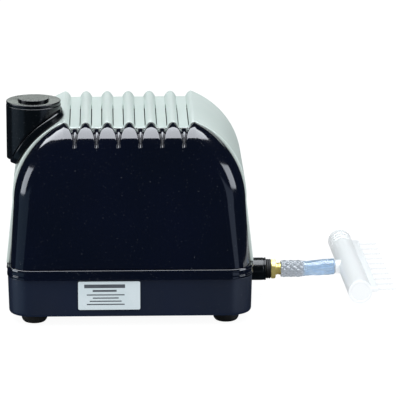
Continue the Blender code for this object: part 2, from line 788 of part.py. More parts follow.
def build_manifold(pump):
    axis_z = OUTLET_Z + HOSE_RISE
    stand = make_empty("manifold_frame", pump, (MANIFOLD_X, MANIFOLD_Y, axis_z), MANIFOLD_TURN)
    end = MANIFOLD_HALF_LENGTH
    profile = [(MANIFOLD_BORE, -end), (MANIFOLD_RADIUS, -end)]
    for groove in range(3):
        start = end - 0.030 + groove * 0.009
        profile += [(MANIFOLD_RADIUS, start), (MANIFOLD_RADIUS - 0.0012, start + 0.0012)]
        profile += [(MANIFOLD_RADIUS, start + 0.0024)]
    profile += [(MANIFOLD_RADIUS, end), (MANIFOLD_BORE, end)]
    barrel = add_piece("manifold", turned(profile, (0, 0, 0), "Y", 20, bored=True), "white_plastic", stand)
    web = box((MANIFOLD_RADIUS - 0.0020, -0.0925, -0.0025), (MANIFOLD_RADIUS + 0.0070, 0.0925, 0.0025))
    boolean(barrel, web, "UNION")
    root = MANIFOLD_RADIUS + 0.004
    tips = [rod(NOZZLE_RADIUS, (0, y, 0), "X", root, NOZZLE_TIP, 8) for y in nozzle_places()]
    boolean(barrel, together(tips), "UNION")
    inlet_y = OUTLET_Y + HOSE_SHIFT - MANIFOLD_Y
    boolean(barrel, rod(0.0072, (0, inlet_y, 0), "X", -0.0158, -0.0110, 16), "UNION")
    boolean(barrel, rod(0.0055, (0, inlet_y, 0), "X", -0.0235, -0.0120, 16), "UNION")
    bores = [rod(0.0011, (0, y, 0), "X", 0.006, NOZZLE_TIP + 0.002, 6) for y in nozzle_places()]
    bores.append(rod(0.0042, (0, inlet_y, 0), "X", -0.032, -0.004, 12))
    boolean(barrel, together(bores), "DIFFERENCE")
    for name, side in (("front", -1), ("rear", 1)):
        plug = [
            (MANIFOLD_BORE - 0.0004, side * (end - 0.008)),
            (MANIFOLD_BORE - 0.0004, side * (end + GAP)),
            (MANIFOLD_RADIUS, side * (end + GAP)),
            (MANIFOLD_RADIUS, side * (end + 0.0020)),
            (MANIFOLD_RADIUS - 0.0008, side * (end + 0.0026)),
            (MANIFOLD_RADIUS - 0.0024, side * (end + 0.0026)),
            (MANIFOLD_RADIUS - 0.0030, side * (end + 0.0018)),
        ]
        add_piece(f"manifold_cap_{name}", turned(plug, (0, 0, 0), "Y", 20), "white_plastic", stand)


# --- Air tank ------------------------------------------------------------------------------------


def build_tank(pump):
    """The pressure tank in the base, with one stub for each pump head and a spout to the outlet."""
    inside_wall = TANK_HIGH[0] - 0.001
    beyond_wall = TANK_HIGH[0] - 0.006
    tank = add_piece("air_tank", box(TANK_LOW, TANK_HIGH), "tank_plastic", pump)
    spout = rod(SPOUT_RADII[0], (0, OUTLET_Y, OUTLET_Z), "X", inside_wall, SOCKET_X[0] - GAP, 12)
    boolean(tank, spout, "UNION")
    stub = (0, STUB_Y, STUB_Z)
    stub_x = [span(side, inside_wall, STUB_END_X) for side in SIDES.values()]
    boolean(tank, together([rod(STUB_RADII[0], stub, "X", *ends, 12) for ends in stub_x]), "UNION")
    low = [edge + TANK_WALL for edge in TANK_LOW]
    high = (TANK_HIGH[0] - TANK_WALL, TANK_HIGH[1] - TANK_WALL, TANK_HIGH[2] + TANK_WALL)
    boolean(tank, box(low, high), "DIFFERENCE")
    bores = [rod(SPOUT_RADII[1], (0, OUTLET_Y, OUTLET_Z), "X", beyond_wall, SOCKET_X[0] + 0.001, 10)]
    for side in SIDES.values():
        bores.append(rod(STUB_RADII[1], stub, "X", *span(side, beyond_wall, STUB_END_X + 0.002), 10))
    boolean(tank, together(bores), "DIFFERENCE")
    lid = box((*TANK_LOW[:2], TANK_HIGH[2] + GAP), (*TANK_HIGH[:2], TANK_HIGH[2] + TANK_LID))
    add_piece("tank_lid", lid, "tank_plastic", pump)


def smooth_path(corners, steps=3):
    """Points of a curve that is tangent to each leg's middle: a quadratic arc round every corner."""
    points = [Vector(corners[0])]
    for before, corner, after in zip(corners, corners[1:], corners[2:]):
        corner = Vector(corner)
        start = (Vector(before) + corner) / 2 if before != corners[0] else points[0].lerp(corner, 0.5)
        end = (corner + Vector(after)) / 2
        for step in range(steps + 1):
            share = step / steps
            points.append(start.lerp(corner, share).lerp(corner.lerp(end, share), share))
    points.append(Vector(corners[-1]))
    return [p for i, p in enumerate(points) if i == 0 or (p - points[i - 1]).length > 1e-5]


def swept_tube(path, outer, inner, segments=8):
    """A hollow tube round a path. Each ring is square to the path and turned from the last by the least."""
    rings = []
    across = None
    for i, point in enumerate(path):
        tangent = (path[min(i + 1, len(path) - 1)] - path[max(i - 1, 0)]).normalized()
        across = tangent.orthogonal() if across is None else across - tangent * across.dot(tangent)
        across.normalize()
        other = tangent.cross(across)
        rings.append((point, across.copy(), other))
    skin = []
    for radius, frames in ((outer, rings), (inner, rings[::-1])):
        for point, side, up in frames:
            angles = [2 * math.pi * i / segments for i in range(segments)]
            skin.append([point + side * radius * math.cos(a) + up * radius * math.sin(a) for a in angles])
    return loft(skin, wrap=True)


def build_ducts(pump):
    """Rubber ducts from each head's upper pocket down to the tank's stub."""
    port_z = AXIS_Z + PORT_OFFSET
    for name, side in SIDES.items():
        corners = [
            (side * HEAD_PORT_X, HEAD_HALF + 2 * GAP, port_z),
            (side * HEAD_PORT_X, DUCT_Y, port_z),
            (side * HEAD_PORT_X, DUCT_Y, DUCT_LOW_Z),
            (side * HEAD_PORT_X, STUB_Y, STUB_Z),
            (side * (STUB_END_X + GAP), STUB_Y, STUB_Z),
        ]
        add_piece(f"duct_{name}", swept_tube(smooth_path(corners), *DUCT_RADII), "black_rubber", pump)


# --- Drive unit ----------------------------------------------------------------------------------


def build_frame(pump):
    low, high = FRAME_Z
    for name, x, y in four_corners(POST_X, POST_Y):
        mount = rod(MOUNT_RADIUS, (x, y, 0), "Z", POST_TOP_Z + GAP, low - GAP, 12)
        add_piece(f"vibration_mount_{name}", mount, "black_rubber", pump)
    plate = box((-FRAME_HALF_X, -FRAME_HALF_Y, low), (FRAME_HALF_X, FRAME_HALF_Y, high))
    frame = add_piece("drive_frame", plate, "aluminium", pump)
    for side in SIDES.values():
        near, far = span(side, *FRAME_WALL_X)
        top = AXIS_Z + FRAME_WALL_RISE
        wall = box((near, -FRAME_WALL_HALF_Y, low + 0.001), (far, FRAME_WALL_HALF_Y, top))
        boolean(frame, wall, "UNION")
    window = rod(FRAME_WINDOW, (0, 0, AXIS_Z), "X", -0.080, 0.080, 24)
    boolean(frame, window, "DIFFERENCE")


def core_outline(side):
    """An E with its legs towards the armature, as (x, y)."""
    outline = [(LEGS[0][0], side * CORE_BACK_Y)]
    for i, (start, end) in enumerate(LEGS):
        outline += [(start, side * CORE_FACE_Y), (end, side * CORE_FACE_Y)]
        if i + 1 < len(LEGS):
            outline += [(end, side * CORE_ROOT_Y), (LEGS[i + 1][0], side * CORE_ROOT_Y)]
    outline.append((LEGS[-1][1], side * CORE_BACK_Y))
    return outline


def coil_shape(side):
    """A rounded block with a square hole for the core's middle leg."""
    hole, rim = (
        [(x, AXIS_Z + z) for x, z in rounded_rectangle(*size, steps=2)] for size in (COIL_HOLE, COIL_RIM)
    )
    near, far = span(side, *COIL_Y)
    stations = ((rim, near), (rim, far), (hole, far), (hole, near))
    return loft([[Vector((x, y, z)) for x, z in loop] for loop, y in stations], wrap=True)


def build_electromagnets(pump):
    """Two facing E cores with a winding round each middle leg, each on a bracket."""
    low, high = AXIS_Z - STACK_HALF, AXIS_Z + STACK_HALF
    bracket_half = LEGS[-1][0] + 0.006
    for name, side in (("front", -1), ("rear", 1)):
        add_piece(f"core_{name}", prism(core_outline(side), "Z", low, high), "laminated_iron", pump)
        add_piece(f"coil_{name}", coil_shape(side), "copper_winding", pump)
        near, far = span(side, CORE_ROOT_Y + 0.0005, CORE_BACK_Y)
        bracket = box((-bracket_half, near, FRAME_Z[1] + GAP), (bracket_half, far, low - GAP))
        add_piece(f"core_bracket_{name}", bracket, "aluminium", pump)


def block_about(x, half):
    """A box on the armature's axis, centred at x."""
    return box((x - half[0], -half[1], -half[2]), (x + half[0], half[1], half[2]))


def bored_disc(side, radius, ends, segments):
    """A flat ring round the armature's rod, between two distances from the middle."""
    near, far = (side * end for end in ends)
    bore = ROD_RADIUS + GAP
    profile = [(bore, near), (radius, near), (radius, far), (bore, far)]
    return turned(profile, (0, 0, 0), "X", segments, bored=True)


def build_armature(pump):
    """The sliding rod between the diaphragms, with two magnets between the cores."""
    axis = make_empty("armature_axis", pump, (0, 0, AXIS_Z))
    carrier = add_piece("armature_rod", block_about(0, CARRIER_HALF), "aluminium", axis)
    for side in SIDES.values():
        boolean(carrier, rod(ROD_RADIUS, (0, 0, 0), "X", *span(side, *ROD_X), 12), "UNION")
        boolean(carrier, rod(COLLAR_RADIUS, (0, 0, 0), "X", *span(side, *FRAME_WALL_X), 16), "UNION")
    windows = [block_about(side * MAGNET_X, WINDOW_HALF) for side in SIDES.values()]
    boolean(carrier, together(windows), "DIFFERENCE")
    for name, side in SIDES.items():
        add_piece(f"magnet_{name}", block_about(side * MAGNET_X, MAGNET_HALF), "magnet", axis)
        clamp = bored_disc(side, COLLAR_RADIUS, CLAMP_X, 16)
        add_piece(f"clamp_disc_{name}", clamp, "aluminium", axis)
        nut = bored_disc(side, NUT_RADIUS, NUT_X, NUT_SEGMENTS)
        add_piece(f"rod_nut_{name}", nut, "steel", axis)


def build_diaphragms(pump):
    """A rubber disc with one round fold, held at its rim and at the rod."""
    near, far = FRAME_WALL_X[1] + GAP, HEAD_X[0] - GAP
    for name, side in SIDES.items():
        profile = [
            (ROD_RADIUS + GAP, near),
            (0.0190, near),
            (0.0230, near - 0.0020),
            (0.0270, near),
            (DIAPHRAGM_RADIUS, near),
            (DIAPHRAGM_RADIUS, far),
            (0.0275, far),
            (0.0230, far - 0.0020),
            (0.0185, far),
            (ROD_RADIUS + GAP, far),
        ]
        profile = [(radius, side * x) for radius, x in profile]
        disc = turned(profile, (0, 0, AXIS_Z), "X", 16, bored=True)
        add_piece(f"diaphragm_{name}", disc, "diaphragm_rubber", pump)


def head_pockets(side):
    """The two pockets over the valves, open towards the head's cover."""
    near, far = span(side, HEAD_X[2], HEAD_X[3] + 0.001)
    pockets = []
    for low, high in POCKETS_Z:
        pockets.append(box((near, -POCKET_HALF_Y, AXIS_Z + low), (far, POCKET_HALF_Y, AXIS_Z + high)))
    return together(pockets)


def head_ports(side):
    """Inlet and outlet ports through the valve plate, the intake hole below and the duct's hole behind."""
    valve_x = span(side, HEAD_X[1] - 0.001, HEAD_X[2] + 0.001)
    levels = (AXIS_Z - PORT_OFFSET, AXIS_Z + PORT_OFFSET)
    ports = [rod(PORT_RADIUS, (0, 0, level), "X", *valve_x, 10) for level in levels]
    below = AXIS_Z - HEAD_HALF - 0.001
    ports.append(rod(PORT_RADIUS, (side * HEAD_PORT_X, 0, 0), "Z", below, below + 0.009, 10))
    upper = (side * HEAD_PORT_X, 0, AXIS_Z + PORT_OFFSET)
    ports.append(rod(DUCT_PORT_RADIUS, upper, "Y", POCKET_HALF_Y - 0.001, HEAD_HALF + 0.001, 10))
    return together(ports)


def build_heads(pump):
    """Each head: a chamber on the diaphragm, two valve ports, and two pockets under a cover."""
    inner, floor, _, outer = HEAD_X
    low, high = AXIS_Z - HEAD_HALF, AXIS_Z + HEAD_HALF
    for name, side in SIDES.items():
        near, far = span(side, inner, outer)
        block = box((near, -HEAD_HALF, low), (far, HEAD_HALF, high))
        head = add_piece(f"pump_head_{name}", block, "aluminium", pump)
        chamber = rod(CHAMBER_RADIUS, (0, 0, AXIS_Z), "X", *span(side, inner - 0.001, floor), 20)
        boolean(head, chamber, "DIFFERENCE")
        boolean(head, head_pockets(side), "DIFFERENCE")
        boolean(head, head_ports(side), "DIFFERENCE")
        near, far = span(side, outer + GAP, outer + HEAD_COVER)
        cover = box((near, -HEAD_HALF, low), (far, HEAD_HALF, high))
        add_piece(f"head_cover_{name}", cover, "aluminium", pump)


def build_flaps(pump):
    """Rubber valve flaps, each hung from its top edge over one port."""
    half = FLAP_THICKNESS / 2
    valves = {
        "inlet": (HEAD_X[1] - GAP - half, -PORT_OFFSET),
        "outlet": (HEAD_X[2] + GAP + half, PORT_OFFSET),
    }
    square = rounded_rectangle(FLAP_SIDE / 2, FLAP_SIDE / 2, FLAP_CORNER, 2)
    outline = [(y, z - FLAP_SIDE / 2) for y, z in square]
    for name, side in SIDES.items():
        for kind, (x, level) in valves.items():
            hinge = (side * x, 0, AXIS_Z + level + FLAP_SIDE / 2)
            pivot = make_empty(f"{kind}_flap_pivot_{name}", pump, hinge)
            add_piece(f"{kind}_flap_{name}", prism(outline, "X", -half, half), "diaphragm_rubber", pivot)


def stand_on_origin(pump):
    """Moves the pump so that the bottom centre of its bounding box is the world origin."""
    bpy.context.view_layer.update()
    corners = [
        thing.matrix_world @ Vector(corner)
        for thing in bpy.data.objects
        if thing.type == "MESH" and not thing.hide_render
        for corner in thing.bound_box
    ]
    lowest = [min(corner[i] for corner in corners) for i in range(3)]
    highest = [max(corner[i] for corner in corners) for i in range(3)]
    pump.location = (-(lowest[0] + highest[0]) / 2, -(lowest[1] + highest[1]) / 2, -lowest[2])


def main():
    clear_scene()
    pump = make_empty("pump_frame")
    build_base(pump)
    build_rim(pump)
    build_feet(pump)
    build_label(pump)
    build_gland(pump)
    build_covers(pump)
    build_filter(pump)
    build_outlet(pump)
    build_hose(pump)
    build_manifold(pump)
    build_tank(pump)
    build_ducts(pump)
    build_frame(pump)
    build_electromagnets(pump)
    build_armature(pump)
    build_diaphragms(pump)
    build_heads(pump)
    build_flaps(pump)
    stand_on_origin(pump)


main()
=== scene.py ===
"""The looks of a linear diaphragm air pump with its outlet hose and manifold.

Distances are in metres. Shapes are worked out in pump coordinates, X to the right, Y to the back
and Z up, with the origin on the floor under the middle of the housing. PUMP_ORIGIN carries them to
their place in the frame. Every surface is a grid of points worked out as whole arrays.
"""

import logging
import math
from dataclasses import dataclass, replace
from enum import Enum

import bmesh
import bpy
import numpy as np
from mathutils import Matrix, Vector


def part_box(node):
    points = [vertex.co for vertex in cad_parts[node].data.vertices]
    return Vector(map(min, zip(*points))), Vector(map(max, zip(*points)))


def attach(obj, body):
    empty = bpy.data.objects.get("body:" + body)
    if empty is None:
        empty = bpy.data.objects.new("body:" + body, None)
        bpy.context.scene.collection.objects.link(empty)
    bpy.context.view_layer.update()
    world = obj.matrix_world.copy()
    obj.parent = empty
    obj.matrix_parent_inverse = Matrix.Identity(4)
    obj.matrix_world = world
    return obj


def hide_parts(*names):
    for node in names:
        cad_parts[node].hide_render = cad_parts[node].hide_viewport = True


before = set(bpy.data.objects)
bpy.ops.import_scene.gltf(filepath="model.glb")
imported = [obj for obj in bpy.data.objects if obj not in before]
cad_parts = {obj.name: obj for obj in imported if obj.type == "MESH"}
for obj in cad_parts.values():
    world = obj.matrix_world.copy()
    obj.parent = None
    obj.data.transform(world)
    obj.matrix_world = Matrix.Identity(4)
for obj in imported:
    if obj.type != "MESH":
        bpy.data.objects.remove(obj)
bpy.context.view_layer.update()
LOG = logging.getLogger("air_pump")
Array = np.ndarray
Triple = tuple[float, float, float]
Pair = tuple[float, float]
Colour = Triple
Socket = bpy.types.NodeSocket
TURN = 2 * math.pi
MERGE = 1e-6  # points nearer than this are one point
GAP = 0.0003  # clearance between pieces that touch
UP = Vector((0.0, 0.0, 1.0))


def housing_centre() -> Array:
    """Point on the floor under the middle of the two end caps.

    Returns:
        The point.
    """
    front_low, front_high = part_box("end_cap_front")
    rear_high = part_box("end_cap_rear")[1]
    return np.array([(front_low.x + front_high.x) / 2, (front_low.y + rear_high.y) / 2, 0.0])


PUMP_ORIGIN = housing_centre()
ENDS = (("front", -1), ("rear", 1))
FOUR_NAMES = ("front_left", "front_right", "rear_left", "rear_right")


# --- Shapes ---------------------------------------------------------------------------------------


class Axis(Enum):
    """Which way the axis of a turned shape points."""

    X = (1, 2, 0)
    Y = (0, 2, 1)
    Z = (0, 1, 2)


def smooth_step(value: Array | float, low: float, high: float) -> Array:
    """Eases from 0 at low to 1 at high: 3 s^2 - 2 s^3 of the clipped share s."""
    share = np.clip((value - low) / (high - low), 0.0, 1.0)
    return share * share * (3 - 2 * share)


def filleted(corners: list[Triple], closed: bool = False, steps: int = 6) -> Array:
    """A polygon with rounded corners.

    Each rounding is the parabola that leaves one side and meets the next, both `radius` away from
    the corner, with one more point a little further along each side to keep the sides flat.

    Args:
        corners: (a, b, radius) of each corner.
        closed: whether the last corner joins the first.
        steps: pieces in each rounding.

    Returns:
        Points as rows of (a, b).
    """
    points = np.array([corner[:2] for corner in corners])
    share = np.linspace(0.0, 1.0, steps + 1)[:, None]
    rows = []
    for i, (corner, radius) in enumerate(zip(points, (corner[2] for corner in corners))):
        at_end = not closed and i in (0, len(corners) - 1)
        if at_end or radius == 0:
            rows.append(corner[None])
            continue
        sides = [points[i - 1] - corner, points[(i + 1) % len(points)] - corner]
        lengths = [np.linalg.norm(side) for side in sides]
        reach = min(radius, 0.42 * min(lengths))
        start, end = (corner + side / length * reach for side, length in zip(sides, lengths))
        arc = (1 - share) ** 2 * start + 2 * share * (1 - share) * corner + share**2 * end
        flat = [corner + side / length * min(1.4 * reach, 0.47 * length)
                for side, length in zip(sides, lengths)]
        rows += [flat[0][None], arc, flat[1][None]]
    return np.concatenate(rows)


def turned(profile: Array, axis: Axis, centre: Triple, columns: int = 96) -> Array:
    """A profile turned round an axis: radius times (cos, sin) of the angle, at its distance.

    Args:
        profile: rows of (radius, distance along the axis).
        axis: the axis of turning.
        centre: a point on the axis, added to every point.
        columns: points in each turn.

    Returns:
        Grid of points, profile by angle.
    """
    angle = np.linspace(0.0, TURN, columns, endpoint=False)
    grid = np.zeros((len(profile), columns, 3))
    first, second, along = axis.value
    grid[..., first] = profile[:, :1] * np.cos(angle)
    grid[..., second] = profile[:, :1] * np.sin(angle)
    grid[..., along] = profile[:, 1:2]
    return grid + np.array(centre)


def rounded_rectangle(half_x: Array, half_y: Array, corner: Array, steps: int = 14) -> tuple[Array, Array]:
    """X and Y of rounded rectangles, one row for each size given.

    Each corner is a quarter circle about (half - corner), and a few points lie along each side.

    Args:
        half_x: half the size along X, one value for each row.
        half_y: half the size along Y, likewise.
        corner: radius of the corners, likewise.
        steps: pieces in each quarter circle.

    Returns:
        X and Y of the points, row by row.
    """
    half_x, half_y, corner = (np.atleast_1d(size)[:, None] for size in (half_x, half_y, corner))
    turn = np.linspace(0.0, math.pi / 2, steps + 1)
    xs, ys = [], []
    for quarter, (sign_x, sign_y) in enumerate(((1, 1), (-1, 1), (-1, -1), (1, -1))):
        angle = turn + quarter * math.pi / 2
        xs.append(sign_x * (half_x - corner) + corner * np.cos(angle))
        ys.append(sign_y * (half_y - corner) + corner * np.sin(angle))
    ring_x, ring_y = [], []
    share = np.array([0.03, 0.2, 0.4, 0.6, 0.8, 0.97])
    for i in range(4):
        following = (i + 1) % 4
        ring_x += [xs[i], xs[i][:, -1:] + (xs[following][:, :1] - xs[i][:, -1:]) * share]
        ring_y += [ys[i], ys[i][:, -1:] + (ys[following][:, :1] - ys[i][:, -1:]) * share]
    return np.concatenate(ring_x, axis=1), np.concatenate(ring_y, axis=1)


class Skin:
    """A closed surface in the making, gathered from grids of points."""

    def __init__(self) -> None:
        """Starts with no points."""
        self.points: list[Array] = []
        self.quads: list[Array] = []
        self.count = 0

    def take(self, grid: Array) -> Array:
        """Adds the points of a grid and returns their numbers, in the grid's shape.

        Args:
            grid: rows by columns of points.

        Returns:
            The numbers, rows by columns.
        """
        numbers = self.count + np.arange(grid.shape[0] * grid.shape[1]).reshape(grid.shape[:2])
        self.points.append(grid.reshape(-1, 3))
        self.count += numbers.size
        return numbers

    def add(self, grid: Array, around: bool = True, closed: bool = False) -> "Skin":
        """Adds a grid with a face between each four neighbours.

        Args:
            grid: rows by columns of points.
            around: whether the last column joins the first.
            closed: whether the last row joins the first.

        Returns:
            This skin.
        """
        numbers = self.take(grid)
        if around:
            numbers = np.hstack([numbers, numbers[:, :1]])
        if closed:
            numbers = np.vstack([numbers, numbers[:1]])
        self.quads.append(corners_of(numbers).reshape(-1, 4))
        return self

    def add_wall(self, outer: Array, inner: Array, solid: Array | None = None) -> "Skin":
        """Adds two sheets a wall apart, joined along every free edge and round every hole.

        Args:
            outer: rows by columns of points.
            inner: the same number of points, behind them.
            solid: for each cell, whether it has material. Without it, every cell has.

        Returns:
            This skin.
        """
        front, back = self.take(outer), self.take(inner)
        if solid is None:
            solid = np.ones((outer.shape[0] - 1, outer.shape[1] - 1), bool)
        self.quads.append(corners_of(front)[solid])
        self.quads.append(corners_of(back)[solid][:, ::-1])
        known = np.pad(solid, 1)
        across = known[:-1, 1:-1] != known[1:, 1:-1]
        down = known[1:-1, :-1] != known[1:-1, 1:]
        for cut, first, second in (
            (across, (slice(None), slice(None, -1)), (slice(None), slice(1, None))),
            (down, (slice(None, -1), slice(None)), (slice(1, None), slice(None))),
        ):
            bridge = np.stack([front[first], front[second], back[second], back[first]], axis=-1)
            self.quads.append(bridge[cut])
        return self

    def mesh(self, name: str, sharp: float) -> bpy.types.Mesh:
        """Makes the mesh: doubles merged, faces turned outwards, edges over `sharp` degrees kept sharp.

        Args:
            name: the mesh's name.
            sharp: the angle in degrees past which an edge shows.

        Returns:
            The mesh.
        """
        points = np.concatenate(self.points) + PUMP_ORIGIN
        quads = np.concatenate(self.quads)
        made = bpy.data.meshes.new(name)
        made.vertices.add(len(points))
        made.vertices.foreach_set("co", points.astype(np.float32).ravel())
        made.loops.add(quads.size)
        made.loops.foreach_set("vertex_index", quads.astype(np.int32).ravel())
        made.polygons.add(len(quads))
        made.polygons.foreach_set("loop_start", np.arange(0, quads.size, 4, dtype=np.int32))
        made.update(calc_edges=True)
        shape = bmesh.new()
        shape.from_mesh(made)
        bmesh.ops.remove_doubles(shape, verts=shape.verts, dist=MERGE)
        bmesh.ops.recalc_face_normals(shape, faces=shape.faces)
        shape.to_mesh(made)
        shape.free()
        made.shade_smooth()
        made.set_sharp_from_angle(angle=math.radians(sharp))
        return made


def corners_of(numbers: Array) -> Array:
    """The four corner numbers of each cell of a grid of point numbers."""
    return np.stack([numbers[:-1, :-1], numbers[:-1, 1:], numbers[1:, 1:], numbers[1:, :-1]], axis=-1)


def block(low: Triple, high: Triple, edge: float) -> Array:
    """A box with rounded upright edges and rounded rims, as rings from its lower pole to its upper one.

    Args:
        low: its lowest corner.
        high: its highest corner.
        edge: radius of its roundings.

    Returns:
        Grid of points, ring by angle.
    """
    low, high = np.array(low), np.array(high)
    half = (high - low) / 2
    centre = (low + high) / 2
    quarter = np.linspace(0.0, math.pi / 2, 5)
    falling, rising = edge * (1 - np.sin(quarter)), edge * (1 - np.cos(quarter))
    inset = np.concatenate([[half.min()], falling, rising, [half.min()]])
    lift = np.concatenate([[0.0], rising])
    height = np.concatenate([lift - half[2], half[2] - lift[::-1]])
    scale_x, scale_y = half[0] - inset, half[1] - inset
    scale_x[[0, -1]] = 0.0
    scale_y[[0, -1]] = 0.0
    corner = np.minimum(edge, np.minimum(scale_x, scale_y))
    xs, ys = rounded_rectangle(scale_x, scale_y, corner, 4)
    return np.stack([xs, ys, np.broadcast_to(height[:, None], xs.shape)], axis=-1) + centre


# --- Finishes -------------------------------------------------------------------------------------


def shade(red: int, green: int, blue: int) -> Colour:
    """A colour given as it is seen on a screen, 0 to 255, as the linear light that shaders take.

    Args:
        red: red as seen.
        green: green as seen.
        blue: blue as seen.

    Returns:
        The colour in linear light.
    """
    seen = np.array([red, green, blue]) / 255
    linear = np.where(seen <= 0.04045, seen / 12.92, ((seen + 0.055) / 1.055) ** 2.4)
    return tuple(float(value) for value in linear)


class Recipe:
    """A material's nodes, with a short call for each step that the finishes share."""

    def __init__(self, name: str) -> None:
        """Starts a Principled material that reads Object coordinates.

        Args:
            name: the material's name.
        """
        self.material = bpy.data.materials.new(name)
        self.material.use_nodes = True
        self.nodes = self.material.node_tree.nodes
        self.links = self.material.node_tree.links
        self.shader = self.nodes["Principled BSDF"]
        self.place = self.nodes.new("ShaderNodeTexCoord").outputs["Object"]

    def set(self, **values: float | Colour) -> None:
        """Sets sockets of the shader. Underscores stand for spaces in their names.

        Args:
            values: the sockets' values, by name.
        """
        for name, value in values.items():
            socket = self.shader.inputs[name.replace("_", " ").title().replace("Ior", "IOR")]
            socket.default_value = (*value, 1.0) if isinstance(value, tuple) else value

    def drive(self, socket: str, source: Socket) -> None:
        """Links a worked-out value to a socket of the shader."""
        self.links.new(source, self.shader.inputs[socket])

    def stretched(self, scale: Triple) -> Socket:
        """Object coordinates multiplied by `scale`.

        Args:
            scale: factors along X, Y and Z.

        Returns:
            The scaled coordinates.
        """
        node = self.nodes.new("ShaderNodeMapping")
        node.inputs["Scale"].default_value = scale
        self.links.new(self.place, node.inputs["Vector"])
        return node.outputs["Vector"]

    def noise(self, scale: float, detail: float = 3.0, vector: Socket | None = None) -> Socket:
        """Soft noise from 0 to 1, `scale` cells to the metre.

        Args:
            scale: cells to the metre.
            detail: octaves of finer noise.
            vector: the coordinates to read, or none for Object coordinates.

        Returns:
            The noise.
        """
        node = self.nodes.new("ShaderNodeTexNoise")
        node.inputs["Scale"].default_value = scale
        node.inputs["Detail"].default_value = detail
        self.links.new(vector or self.place, node.inputs["Vector"])
        return node.outputs["Fac"]

    def along(self, axis: str) -> Socket:
        """One of the Object coordinates.

        Args:
            axis: X, Y or Z.

        Returns:
            The coordinate in metres.
        """
        node = self.nodes.new("ShaderNodeSeparateXYZ")
        self.links.new(self.place, node.inputs["Vector"])
        return node.outputs[axis]

    def cells(self, scale: float) -> Socket:
        """Distance to the nearest of scattered points, `scale` of them to the metre.

        Args:
            scale: points to the metre.

        Returns:
            The distance.
        """
        node = self.nodes.new("ShaderNodeTexVoronoi")
        node.inputs["Scale"].default_value = scale
        self.links.new(self.place, node.inputs["Vector"])
        return node.outputs["Distance"]

    def bands(self, direction: str, scale: float, distortion: float = 0.0) -> Socket:
        """Even bands across one axis, from 0 to 1.

        Args:
            direction: X, Y or Z, the way across the bands.
            scale: a band repeats every 0.31 / scale metres.
            distortion: how much the bands waver.

        Returns:
            The bands.
        """
        node = self.nodes.new("ShaderNodeTexWave")
        node.bands_direction = direction
        node.inputs["Scale"].default_value = scale
        node.inputs["Distortion"].default_value = distortion
        self.links.new(self.place, node.inputs["Vector"])
        return node.outputs["Fac"]

    def between(
        self, source: Socket, low: float, high: float, start: float = 0.0, end: float = 1.0
    ) -> Socket:
        """Maps low..high to start..end, held at both ends.

        Args:
            source: the value to map.
            low: the value that gives start.
            high: the value that gives end.
            start: result at low and beyond.
            end: result at high and beyond.

        Returns:
            The mapped value.
        """
        node = self.nodes.new("ShaderNodeMapRange")
        for name, value in (("From Min", low), ("From Max", high), ("To Min", start), ("To Max", end)):
            node.inputs[name].default_value = value
        self.links.new(source, node.inputs["Value"])
        return node.outputs["Result"]

    def sum_of(self, operation: str, first: Socket, second: Socket | float) -> Socket:
        """One arithmetic step on two values.

        Args:
            operation: the step, as the Math node names it.
            first: the first value.
            second: the second value, or a number.

        Returns:
            The result.
        """
        node = self.nodes.new("ShaderNodeMath")
        node.operation = operation
        self.links.new(first, node.inputs[0])
        if isinstance(second, float):
            node.inputs[1].default_value = second
        else:
            self.links.new(second, node.inputs[1])
        return node.outputs["Value"]

    def mix(self, share: Socket, first: Colour | Socket, second: Colour) -> Socket:
        """The first colour where share is 0, and the second where it is 1.

        Args:
            share: share of the second colour.
            first: the first colour, fixed or worked out.
            second: the second colour.

        Returns:
            The mixed colour.
        """
        node = self.nodes.new("ShaderNodeMix")
        node.data_type = "RGBA"
        self.links.new(share, node.inputs["Factor"])
        if isinstance(first, tuple):
            node.inputs[6].default_value = (*first, 1.0)
        else:
            self.links.new(first, node.inputs[6])
        node.inputs[7].default_value = (*second, 1.0)
        return node.outputs[2]

    def bump(self, height: Socket, depth: float, under: Socket | None = None) -> Socket:
        """Tilts the surface as if it were raised by height times depth, on top of the bump `under`.

        Args:
            height: height from 0 to 1.
            depth: rise in metres where the height is 1.
            under: the bump beneath this one, if any.

        Returns:
            The tilted normal.
        """
        node = self.nodes.new("ShaderNodeBump")
        node.inputs["Strength"].default_value = 1.0
        node.inputs["Distance"].default_value = depth
        self.links.new(height, node.inputs["Height"])
        if under is not None:
            self.links.new(under, node.inputs["Normal"])
        return node.outputs["Normal"]


@dataclass(frozen=True)
class Finish:
    """What a finish has in common: its slot, which starts its material's name, its colour and how its colour
    wanders.
    """

    slot: str
    colour: Colour
    second: Colour
    label: str = "plain"

    def material(self) -> bpy.types.Material:
        """The finish's material, made the first time that it is asked for.

        Returns:
            The material.
        """
        name = f"{self.slot}_{self.label}"
        found = bpy.data.materials.get(name)
        if found:
            return found
        recipe = Recipe(name)
        self.cook(recipe)
        return recipe.material

    def cook(self, recipe: Recipe) -> None:
        """Builds the nodes. Each finish has its own."""
        raise NotImplementedError


